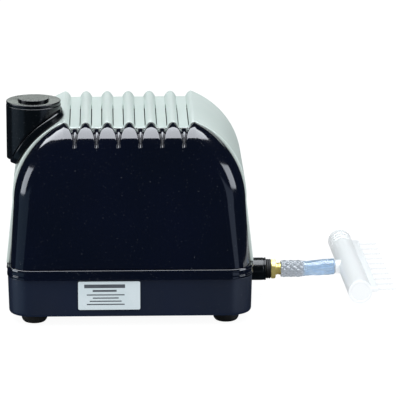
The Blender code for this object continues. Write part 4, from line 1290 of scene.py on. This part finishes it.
@dataclass(frozen=True)
class IntakeFilter:
    """The round filter cap on the left shoulder, its saddle, gasket and foam."""

    housing: Housing
    x: float = -0.0963
    y: float = -0.037
    radius: float = 0.0276
    wall: float = 0.0023
    bottom_z: float = 0.162
    foam_bottom_z: float = 0.165
    rim_z: float = 0.2206
    disc_radius: float = 0.0155
    disc_rise: float = 0.0022
    angle: float = math.radians(42.35)
    half_length: float = 0.0384
    half_width: float = 0.0315
    low: float = 0.0016
    high: float = 0.0080
    intake: float = 0.012
    corner_power: float = 0.77

    def wrapped(self, profile: Array, columns: int = 160) -> Array:
        """Superellipse rings wrapped on the shoulder.

        A ring's size is 1 at the saddle's edge and 0 at the intake. Its reach along the slope and across it
        is the half length and half width times |cos| and |sin| ^ power, blended to the intake's circle.

        Args:
            profile: rows of (size, lift above the shell).
            columns: points in each ring.

        Returns:
            Grid of points, profile by angle.
        """
        turn = np.linspace(0.0, TURN, columns, endpoint=False)
        c, s = np.cos(turn), np.sin(turn)
        size, lift = profile[:, :1], profile[:, 1:]
        square_c = np.sign(c) * np.abs(c) ** self.corner_power
        square_s = np.sign(s) * np.abs(s) ** self.corner_power
        slope = self.half_length * square_c * size + self.intake * c * (1 - size)
        across = self.half_width * square_s * size + self.intake * s * (1 - size)
        angle = self.angle + slope / (self.housing.shoulder_radius + self.high)
        x, z = self.housing.shoulder_place(angle, lift)
        return np.stack([x, self.y + across, z], axis=-1)

    def flange(self, outer: float, inner: float, low: float, high: float, edge: float) -> Array:
        """A ring of flange from inset `outer` to size `inner`, with rounded upper edges.

        Args:
            outer: inset of its outer edge from the saddle's edge.
            inner: size of its inner edge.
            low: lift of its underside.
            high: lift of its top.
            edge: radius of its outer top edge.

        Returns:
            Rows of (size, lift above the shell).
        """
        corners = filleted([
            (outer, low, 0.0004), (outer, high, edge), (self.half_length * (1 - inner), high, 0.0006),
            (self.half_length * (1 - inner), low, 0.0004),
        ], closed=True)
        return np.stack([1 - corners[:, 0] / self.half_length, corners[:, 1]], axis=-1)

    def cap_skin(self) -> Skin:
        """A cup over the foam, from the ceiling's pole down, round the foot and up to the lid's pole.

        Its lower edge follows the saddle.

        Returns:
            The surface.
        """
        bore = self.radius - self.wall
        ceiling = self.rim_z - 0.0026
        radius, rim, disc, crown = self.radius, self.rim_z, self.disc_radius, self.rim_z + self.disc_rise
        top = filleted([
            (radius, rim - 0.012, 0), (radius, rim - 0.0042, 0.0003), (radius - 0.0005, rim - 0.0036, 0.0004),
            (radius - 0.0002, rim - 0.0026, 0.0005), (radius - 0.0001, rim, 0.0014),
            (disc + 0.0006, rim, 0.0003), (disc + 0.0004, rim - 0.0004, 0.0002), (disc, rim - 0.0004, 0.0002),
            (disc, crown, 0.0005), (0.004, crown - 0.0001, 0.0), (0.0, crown - 0.0001, 0),
        ], steps=7)
        middle = (self.x, self.y, 0)
        lid = turned(top, Axis.Z, middle, 144)
        outer_foot = self.foot_ring(lid[0], radius)
        under = np.array([[0.0, ceiling], [bore * 0.9, ceiling], [bore, ceiling - 0.001]])
        inside = turned(under, Axis.Z, middle, 144)
        inner_foot = self.foot_ring(lid[0], bore)
        share = np.linspace(0.0, 1.0, 14)[:, None, None]
        outer_wall = outer_foot + (lid[0] - outer_foot) * share
        inner_wall = inside[-1] + (inner_foot - inside[-1]) * share
        rounding = self.rounded_foot(inner_foot, outer_foot)
        return Skin().add(np.concatenate([inside[:-1], inner_wall[:-1], rounding, outer_wall[2:-1], lid]))

    def foot_ring(self, like: Array, radius: float) -> Array:
        """The cap's lower edge at a radius: just over the saddle, or the flat foot where it is higher.

        Args:
            like: points whose angles it takes.
            radius: its radius.

        Returns:
            One ring of points.
        """
        turn = np.arctan2(like[:, 1] - self.y, like[:, 0] - self.x)
        x = self.x + radius * np.cos(turn)
        over = self.housing.height_over_shoulder(x, self.high + GAP)
        return np.stack([x, self.y + radius * np.sin(turn), np.maximum(self.bottom_z, over)], axis=-1)

    @staticmethod
    def rounded_foot(inner: Array, outer: Array) -> Array:
        """A half round from the inner to the outer edge of the foot, 0.5 mm deep.

        Args:
            inner: the inner edge.
            outer: the outer edge.

        Returns:
            Rings from the inner edge to the outer.
        """
        turn = np.linspace(0.0, math.pi, 7)[:, None, None]
        across = (1 - np.cos(turn)) / 2
        ring = inner + (outer - inner) * across
        ring[..., 2] += 0.0005 * (1 - np.sin(turn[..., 0]))
        return ring

    def foam_skin(self) -> Skin:
        """A cylinder whose underside follows the saddle.

        Returns:
            The surface.
        """
        radius = self.radius - self.wall - 0.0015
        ceiling = self.rim_z - 0.0036
        reach = np.array([0.0, 0.3, 0.6, 0.9, 1.0]) * radius
        under = turned(np.stack([reach, 0 * reach], axis=-1), Axis.Z, (self.x, self.y, 0), 96)
        over = self.housing.height_over_shoulder(under[..., 0], self.high + 2 * GAP)
        under[..., 2] = np.maximum(self.foam_bottom_z, over)
        upper = turned(np.array([[radius, ceiling - 0.0006], [radius - 0.0006, ceiling], [0.0, ceiling]]),
                       Axis.Z, (self.x, self.y, 0), 96)
        return Skin().add(np.concatenate([under, upper]))

    def build(self) -> None:
        """Makes the filter's four pieces."""
        gasket = self.wrapped(self.flange(0.001, 0.04, GAP, self.low - GAP, 0.0003))
        set_piece("saddle_gasket_skin", Skin().add(gasket, closed=True), Finishes.RUBBER, "saddle_gasket")
        saddle = self.wrapped(self.flange(0.0, 0.0, self.low, self.high, 0.0026))
        set_piece("filter_saddle_skin", Skin().add(saddle, closed=True), Finishes.BLACK, "filter_saddle")
        set_piece("filter_foam_skin", self.foam_skin(), Finishes.FOAM, "filter_foam")
        cap = self.cap_skin()
        set_piece("filter_cap_skin", cap, Finishes.BLACK, "filter_cap", body="filter_cap", sharp=60.0)


# --- Outlet, hose and manifold --------------------------------------------------------------------


@dataclass(frozen=True)
class Outlet:
    """The threaded socket in the base, its washer, the brass hose tail and the hose on it."""

    y: float = 0.006
    z: float = 0.0300
    socket_x: Triple = (0.1000, 0.1237, 0.1410)
    socket_radius: float = 0.0117
    washer_x: Pair = (0.1413, 0.1461)
    washer_radius: float = 0.0101
    hexagon_x: Pair = (0.1464, 0.1512)
    apothem: float = 0.0092
    neck_end: float = 0.1562
    barb_end: float = 0.1780
    barbs: int = 3
    hose_x: Pair = (0.1565, 0.2124)
    hose_rise: float = 0.0010
    hose_shift: float = 0.003
    hose_wall: float = 0.0019
    diamond_lead: float = 0.0145
    diamond_starts: int = 5
    diamond_depth: float = 0.0011
    ripple_depth: float = 0.00018

    def socket_skin(self) -> Skin:
        """A collar with a fine bead at its outer end and a thread in its bore.

        Returns:
            The surface.
        """
        inner, shoulder, outer = self.socket_x
        radius = self.socket_radius
        thread = [(0.0060 + 0.0004 * (turn % 2), outer - 0.0008 - 0.0007 * turn, 0.0) for turn in range(20)]
        profile = [
            (0.0060, inner, 0.0003), (0.0086, inner, 0.0004), (0.0086, shoulder, 0.0002),
            (radius, shoulder, 0.0005), (radius, outer - 0.0030, 0.0003),
            (radius - 0.0003, outer - 0.0026, 0.0003), (radius - 0.0003, outer - 0.0018, 0.0003),
            (radius, outer - 0.0014, 0.0003), (radius, outer, 0.0006), (0.0066, outer, 0.0003),
        ]
        grid = turned(filleted(profile + thread, closed=True), Axis.X, (0, self.y, self.z), 96)
        return Skin().add(grid, closed=True)

    def washer_skin(self) -> Skin:
        """Two round rubber beads side by side, with a groove between them.

        Returns:
            The surface.
        """
        near, far = self.washer_x
        middle = (near + far) / 2
        radius = self.washer_radius
        profile = filleted([
            (0.0070, near, 0.0003), (radius, near, 0.0011), (radius, middle, 0.0011),
            (radius - 0.0016, middle, 0.0003), (radius, middle + 0.0002, 0.0011), (radius, far, 0.0011),
            (0.0070, far, 0.0003),
        ], closed=True)
        return Skin().add(turned(profile, Axis.X, (0, self.y, self.z), 96), closed=True)

    def tail_skin(self) -> Skin:
        """The hose tail: thread, chamfered hexagon, neck and barbs, bored right through.

        The hexagon's reach at an angle is the apothem over cos(angle from the flat), and a cone that
        starts at the apothem cuts its corners off at both ends.

        Returns:
            The surface.
        """
        near, far = self.hexagon_x
        pitch = (self.barb_end - self.neck_end) / self.barbs
        shank = [(0.0035, 0.1250, 0.0003), (0.0052, 0.1250, 0.0003)]
        shank += [(0.0055 - 0.0005 * (turn % 2), 0.1258 + 0.0006 * turn, 0.0001) for turn in range(34)]
        shank += [(0.0055, near, 0.0)]
        neck = [
            (0.0062, far, 0.0004), (0.0062, far + 0.0016, 0.0002), (0.0058, far + 0.0020, 0.0002),
            (0.0058, far + 0.0030, 0.0002), (0.0062, far + 0.0034, 0.0002), (0.0062, self.neck_end, 0.0002),
        ]
        for barb in range(self.barbs):
            start = self.neck_end + barb * pitch
            neck += [(0.0066, start + 0.0004, 0.0002), (0.0057, start + pitch - 0.0003, 0.0002)]
        neck += [(0.0035, self.barb_end, 0.0003)]
        first, last = filleted(shank), filleted(neck)
        along = near + (far - near) * np.concatenate([[0.0], np.linspace(0.0, 1.0, 13), [1.0]])
        turn = np.linspace(0.0, TURN, 144, endpoint=False)
        from_corner = turn % (math.pi / 3) - math.pi / 6
        reach = self.apothem / np.cos(math.pi / 6 - np.abs(from_corner))
        from_end = np.minimum(along - near, far - along)[:, None]
        radius = np.minimum(reach, self.apothem * 0.995 + 1.6 * from_end)
        radius[[0, -1]] = 0.0062
        hexagon = turned(np.stack([0 * along + 1, along], axis=-1), Axis.X, (0, 0, 0), 144)
        hexagon[..., 1:] *= radius[..., None]
        head = turned(first, Axis.X, (0, 0, 0), 144)
        tail = turned(last, Axis.X, (0, 0, 0), 144)
        return Skin().add(np.concatenate([head, hexagon, tail]) + (0, self.y, self.z), closed=True)

    def hose_line(self, x: Array) -> tuple[Array, Array]:
        """The hose's middle: straight over the barb, then easing back and up to the manifold."""
        ease = smooth_step(x, self.barb_end, self.hose_x[1])
        return self.y + self.hose_shift * ease, self.z + self.hose_rise * ease

    def hose_radius(self, x: Array) -> Array:
        """Outer radius: stretched over the barb, slack past it, full again at the manifold."""
        return np.interp(x, [0.1765, 0.1835, 0.1995], [0.0089, 0.0077, 0.0085])

    def hose_skin(self) -> Skin:
        """The hose: pressed into rows of diamonds where it grips the barb, and lightly rippled past it.

        The diamonds are |sin(a) sin(b)| of two crossing spirals, a and b, that run round and along the hose.

        Returns:
            The surface.
        """
        start, end = self.hose_x
        x = np.linspace(start, end, 150)
        turn = np.linspace(0.0, TURN, 120, endpoint=False)
        y, z = self.hose_line(x)
        gripped = (1 - smooth_step(x, self.barb_end + 0.0005, self.barb_end + 0.004))[:, None]
        spiral = TURN * (x[:, None] - start) / self.diamond_lead
        first = self.diamond_starts * turn + spiral
        second = self.diamond_starts * turn - spiral
        diamonds = np.abs(np.sin(first) * np.sin(second)) ** 0.7
        ripple = np.sin(2 * turn + 160 * x[:, None]) * np.sin(3 * turn - 410 * x[:, None])
        lip = 0.0006 * (1 - smooth_step(np.minimum(x - start, end - x), 0.0, 0.0007))[:, None]
        pressed = self.diamond_depth * (1 - diamonds) * gripped
        rippled = self.ripple_depth * (1 - ripple) * (1 - gripped)
        outer = self.hose_radius(x)[:, None] - pressed - rippled - lip
        inner = self.hose_radius(x)[:, None] - self.hose_wall + 0 * turn
        rings = []
        for radius, rows in ((outer, slice(None)), (inner, slice(None, None, -1))):
            sideways, upwards = y[:, None] + radius * np.cos(turn), z[:, None] + radius * np.sin(turn)
            rings.append(np.stack([x[:, None] + 0 * turn, sideways, upwards], axis=-1)[rows])
        return Skin().add(np.concatenate(rings), closed=True)

    def build(self) -> None:
        """Makes the outlet's four pieces."""
        set_piece("outlet_socket_skin", self.socket_skin(), Finishes.BLACK, "outlet_socket")
        set_piece("outlet_washer_skin", self.washer_skin(), Finishes.RUBBER, "outlet_washer")
        set_piece("hose_tail_skin", self.tail_skin(), Finishes.BRASS, "hose_tail", sharp=25.0)
        set_piece("outlet_hose_skin", self.hose_skin(), Finishes.HOSE, "outlet_hose", sharp=70.0)


@dataclass(frozen=True)
class Manifold:
    """The white pipe with ten nozzles, turned a little from the pump's side."""

    outlet: Outlet
    x: float = 0.2287
    y: float = 0.0115
    turn: float = math.radians(2.2)
    half_length: float = 0.097
    radius: float = 0.0122
    bore: float = 0.0095
    nozzles: int = 10
    nozzle_pitch: float = 0.0193
    nozzle_tip: float = 0.0373
    grooves: int = 3
    groove_from_end: float = 0.030
    groove_pitch: float = 0.009
    groove_depth: float = 0.0012
    web_half_length: float = 0.0925

    def stood(self, grid: Array) -> Array:
        """Turns a grid about the upright and moves it to the manifold's place.

        Args:
            grid: points about the pipe's middle.

        Returns:
            The points in their place.
        """
        c, s = math.cos(self.turn), math.sin(self.turn)
        turned_grid = grid @ np.array([[c, s, 0.0], [-s, c, 0.0], [0.0, 0.0, 1.0]])
        return turned_grid + (self.x, self.y, self.outlet.z + self.outlet.hose_rise)

    def pipe_skin(self) -> Skin:
        """The bored pipe with three grooves near its rear end, its root web, nozzles, collar and spigot.

        Returns:
            The surface.
        """
        end = self.half_length
        corners = [(self.bore, -end, 0.0003), (self.radius, -end, 0.0005)]
        for groove in range(self.grooves):
            start = end - self.groove_from_end + groove * self.groove_pitch
            floor = self.radius - self.groove_depth
            corners += [(self.radius, start, 0.0003), (floor, start + 0.0012, 0.0005),
                        (self.radius, start + 0.0024, 0.0003)]
        corners += [(self.radius, end, 0.0005), (self.bore, end, 0.0003)]
        pipe = turned(filleted(corners, closed=True), Axis.Y, (0, 0, 0), 128)
        skin = Skin().add(self.stood(pipe), closed=True)
        reach = self.web_half_length
        web = block((self.radius - 0.0020, -reach, -0.0025), (self.radius + 0.0070, reach, 0.0025), 0.0011)
        skin.add(self.stood(web))
        root, tip = self.radius + 0.004, self.nozzle_tip
        nozzle = filleted([
            (0.0011, root, 0), (0.0024, root, 0), (0.0024, root + 0.0034, 0.0004),
            (0.0019, root + 0.0042, 0.0004), (0.0017, tip - 0.0082, 0.0003), (0.0020, tip - 0.0074, 0.0002),
            (0.0016, tip - 0.0044, 0.0002), (0.0020, tip - 0.0036, 0.0002), (0.0015, tip, 0.0003),
            (0.0011, tip, 0.0001),
        ], closed=True, steps=3)
        first = -self.nozzle_pitch * (self.nozzles - 1) / 2
        for i in range(self.nozzles):
            spout = turned(nozzle, Axis.X, (0, first + self.nozzle_pitch * i, 0), 28)
            skin.add(self.stood(spout), closed=True)
        inlet_y = self.outlet.y + self.outlet.hose_shift - self.y
        inlet = filleted([
            (0.0042, -0.0060, 0), (0.0072, -0.0060, 0), (0.0072, -0.0158, 0.0010), (0.0055, -0.0160, 0.0004),
            (0.0055, -0.0235, 0.0006), (0.0042, -0.0235, 0.0003),
        ], closed=True)
        return skin.add(self.stood(turned(inlet, Axis.X, (0, inlet_y, 0), 64)), closed=True)

    def cap_skin(self, side: int) -> Skin:
        """An end disc: a plug in the bore, a rounded rim, and a face sunk inside a fine ring.

        Args:
            side: -1 for the front, 1 for the rear.

        Returns:
            The surface.
        """
        end, plug, radius = self.half_length, self.bore - 0.0004, self.radius
        corners = filleted([
            (0.0, end - 0.008, 0), (plug, end - 0.008, 0.0008), (plug, end + GAP, 0.0001),
            (radius, end + GAP, 0.0002), (radius, end + 0.0026, 0.0008),
            (radius - 0.0022, end + 0.0026, 0.0004), (radius - 0.0030, end + 0.0018, 0.0005),
            (0.002, end + 0.0019, 0), (0.0, end + 0.0019, 0),
        ])
        corners[:, 1] *= side
        return Skin().add(self.stood(turned(corners, Axis.Y, (0, 0, 0), 128)))

    def build(self) -> None:
        """Makes the pipe and its two end discs."""
        set_piece("manifold_skin", self.pipe_skin(), Finishes.WHITE, "manifold")
        for name, side in ENDS:
            node = f"manifold_cap_{name}"
            set_piece(f"{node}_skin", self.cap_skin(side), Finishes.WHITE, node)


# --- Drive and air path ---------------------------------------------------------------------------


@dataclass(frozen=True)
class Works:
    """The CAD nodes inside the housing, which keep their shapes and get their finishes here."""

    finishes: tuple[tuple[str, Finish], ...] = (
        ("terminal_block", Finishes.WHITE),
        ("air_tank", Finishes.TANK),
        ("tank_lid", Finishes.TANK),
        ("vibration_mount", Finishes.RUBBER),
        ("drive_frame", Finishes.ALUMINIUM),
        ("core_bracket", Finishes.STEEL),
        ("core_", Finishes.IRON),
        ("coil", Finishes.COPPER),
        ("armature_rod", Finishes.STEEL),
        ("magnet", Finishes.MAGNET),
        ("diaphragm", Finishes.DIAPHRAGM),
        ("clamp_disc", Finishes.ALUMINIUM),
        ("rod_nut", Finishes.STEEL),
        ("pump_head", Finishes.TANK),
        ("head_cover", Finishes.TANK),
        ("inlet_flap", Finishes.DIAPHRAGM),
        ("outlet_flap", Finishes.DIAPHRAGM),
        ("duct", Finishes.RUBBER),
    )

    def dress(self) -> None:
        """Gives each node still shown the first finish whose word starts its name."""
        for name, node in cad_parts.items():
            if node.hide_render:
                continue
            finish = next(finish for word, finish in self.finishes if name.startswith(word))
            for material_slot in node.material_slots:
                material_slot.material = finish.material()
            LOG.info("%s: %s", name, finish.slot)


# --- Studio ---------------------------------------------------------------------------------------


COOL = (0.86, 0.92, 1.0)


@dataclass(frozen=True)
class Softbox:
    """A rectangular light, facing a point, that shows in reflections, on matt surfaces, or in both."""

    name: str
    place: Triple
    target: Triple
    size: Pair
    radiance: float
    in_gloss: bool = True
    in_matt: bool = False
    colour: Colour = (1.0, 1.0, 1.0)

    def build(self) -> None:
        """Makes the light. Its power is radiance times pi times its area."""
        data = bpy.data.lights.new(self.name, "AREA")
        data.shape = "RECTANGLE"
        data.size, data.size_y = self.size
        data.energy = self.radiance * math.pi * self.size[0] * self.size[1]
        data.color = self.colour
        light = bpy.data.objects.new(self.name, data)
        bpy.context.scene.collection.objects.link(light)
        place, target = Vector(self.place), Vector(self.target)
        back = (place - target).normalized()
        across = UP.cross(back).normalized()
        light.matrix_world = Matrix.Translation(place + Vector(PUMP_ORIGIN)) @ Matrix(
            (across, back.cross(across), back)).transposed().to_4x4()
        light.visible_camera = False
        light.visible_glossy = self.in_gloss
        light.visible_diffuse = self.in_matt
        light.visible_transmission = False


@dataclass(frozen=True)
class Card:
    """A level glowing card of any outline that shows in reflections only."""

    name: str
    outline: tuple[Pair, ...]
    height: float
    radiance: float
    colour: Colour

    def build(self) -> None:
        """Makes the card and its glow."""
        mesh = bpy.data.meshes.new(self.name)
        corners = [Vector((x, y, self.height)) + Vector(PUMP_ORIGIN) for x, y in self.outline]
        mesh.from_pydata(corners, [], [tuple(range(len(corners)))])
        glow = Recipe(self.name)
        glow.set(base_color=(0.0, 0.0, 0.0), specular_ior_level=0.0)
        glow.set(emission_color=self.colour, emission_strength=self.radiance)
        mesh.materials.append(glow.material)
        card = bpy.data.objects.new(self.name, mesh)
        bpy.context.scene.collection.objects.link(card)
        for use in ("camera", "diffuse", "transmission", "volume_scatter", "shadow"):
            setattr(card, f"visible_{use}", False)


@dataclass(frozen=True)
class Studio:
    """Pale floor, soft light and the camera."""

    lens: float = 306.0
    camera_place: Triple = (-0.0237, -3.384, 0.983)
    camera_down: float = 14.53
    camera_left: float = 1.634
    floor_half: float = 14.0
    softboxes: tuple[Softbox, ...] = (
        Softbox("left_panel", (-2.0, -0.30, 0.36), (0.0, -0.1, 0.15), (1.0, 0.72), 7.0, colour=COOL),
        Softbox("right_panel", (2.0, -0.75, 0.45), (0.0, -0.1, 0.15), (1.1, 0.70), 7.0, colour=COOL),
        Softbox("back_panel", (0.0, 2.0, 0.72), (0.0, 0.0, 0.2), (3.0, 0.2), 2.1, colour=(0.92, 1.0, 0.95)),
        Softbox("key_wash", (-0.6, -1.2, 2.4), (0.0, 0.0, 0.1), (2.0, 2.0), 0.9,
                in_gloss=False, in_matt=True),
    )
    cards: tuple[Card, ...] = (
        Card("overhead_card",
             ((-2.37, 0.96), (-1.57, 0.23), (-1.25, -0.65), (-0.90, -1.03), (0.90, -1.03), (1.30, -0.60),
              (1.63, 0.27), (1.33, 0.75), (0.0, 0.66), (-1.09, 1.12), (-1.75, 1.60)),
             1.6, 11.5, (0.90, 0.94, 1.0)),
        Card("left_floor_card", ((-0.13, -0.13), (-3.0, -3.3), (-3.0, 0.68), (-0.14, -0.08)),
             -0.001, 0.4, (0.50, 0.74, 1.0)),
        Card("right_floor_card", ((0.115, -0.12), (1.25, -2.9), (2.75, -1.6)),
             -0.001, 0.8, (0.62, 0.75, 1.0)),
    )

    def build_floor(self) -> None:
        """A wide plane that glows a little, so that it stays pale under the object."""
        half = self.floor_half
        mesh = bpy.data.meshes.new("studio_floor")
        corners = [(-half, -half, 0.0), (half, -half, 0.0), (half, half, 0.0), (-half, half, 0.0)]
        mesh.from_pydata(corners, [], [(0, 1, 2, 3)])
        recipe = Recipe("floor_paper")
        paper = recipe.between(recipe.noise(3.0, 2.0), 0.3, 0.7)
        recipe.drive("Base Color", recipe.mix(paper, (0.14, 0.14, 0.14), (0.13, 0.13, 0.13)))
        recipe.set(roughness=0.9, specular_ior_level=0.0)
        recipe.set(emission_color=(1.0, 1.0, 1.0), emission_strength=0.94)
        mesh.materials.append(recipe.material)
        floor = bpy.data.objects.new("studio_floor", mesh)
        bpy.context.scene.collection.objects.link(floor)
        floor.visible_glossy = False

    def build_sky(self) -> None:
        """White as seen and through clear pieces, dark in reflections, soft white on matt surfaces."""
        world = bpy.data.worlds.new("studio_air")
        bpy.context.scene.world = world
        world.use_nodes = True
        nodes, links = world.node_tree.nodes, world.node_tree.links
        nodes.clear()
        path = nodes.new("ShaderNodeLightPath")
        out = nodes.new("ShaderNodeOutputWorld")
        shades = []
        for colour, strength in (((1.0, 1.0, 1.0), 1.0), ((0.94, 0.98, 1.0), 0.95), ((0.5, 0.6, 0.8), 0.03)):
            shade_node = nodes.new("ShaderNodeBackground")
            shade_node.inputs["Color"].default_value = (*colour, 1.0)
            shade_node.inputs["Strength"].default_value = strength
            shades.append(shade_node.outputs[0])
        seen, soft, dark = shades
        for flag, when in (("Is Diffuse Ray", soft), ("Is Glossy Ray", dark)):
            mix = nodes.new("ShaderNodeMixShader")
            links.new(path.outputs[flag], mix.inputs[0])
            links.new(seen, mix.inputs[1])
            links.new(when, mix.inputs[2])
            seen = mix.outputs[0]
        links.new(seen, out.inputs["Surface"])

    def build_camera(self) -> None:
        """The camera, level from side to side and looking a little down."""
        data = bpy.data.cameras.new("studio_camera")
        data.lens = self.lens
        data.clip_end = 100.0
        camera = bpy.data.objects.new("studio_camera", data)
        camera.location = np.array(self.camera_place) + PUMP_ORIGIN
        camera.rotation_euler = (math.radians(90 - self.camera_down), 0.0, math.radians(-self.camera_left))
        bpy.context.scene.collection.objects.link(camera)
        bpy.context.scene.camera = camera

    def build(self) -> None:
        """Sets the whole studio up, with plain sRGB colour."""
        bpy.context.scene.view_settings.view_transform = "Standard"
        self.build_floor()
        self.build_sky()
        self.build_camera()
        for light in self.softboxes + self.cards:
            light.build()


def main() -> None:
    """Builds the studio and every sub-assembly in order."""
    logging.basicConfig(level=logging.INFO, format="%(message)s")
    Studio().build()
    housing = Housing()
    outlet = Outlet()
    for assembly in (housing, Base(), IntakeFilter(housing), outlet, Manifold(outlet)):
        assembly.build()
    Works().dress()


if __name__ == "__main__":
    main()
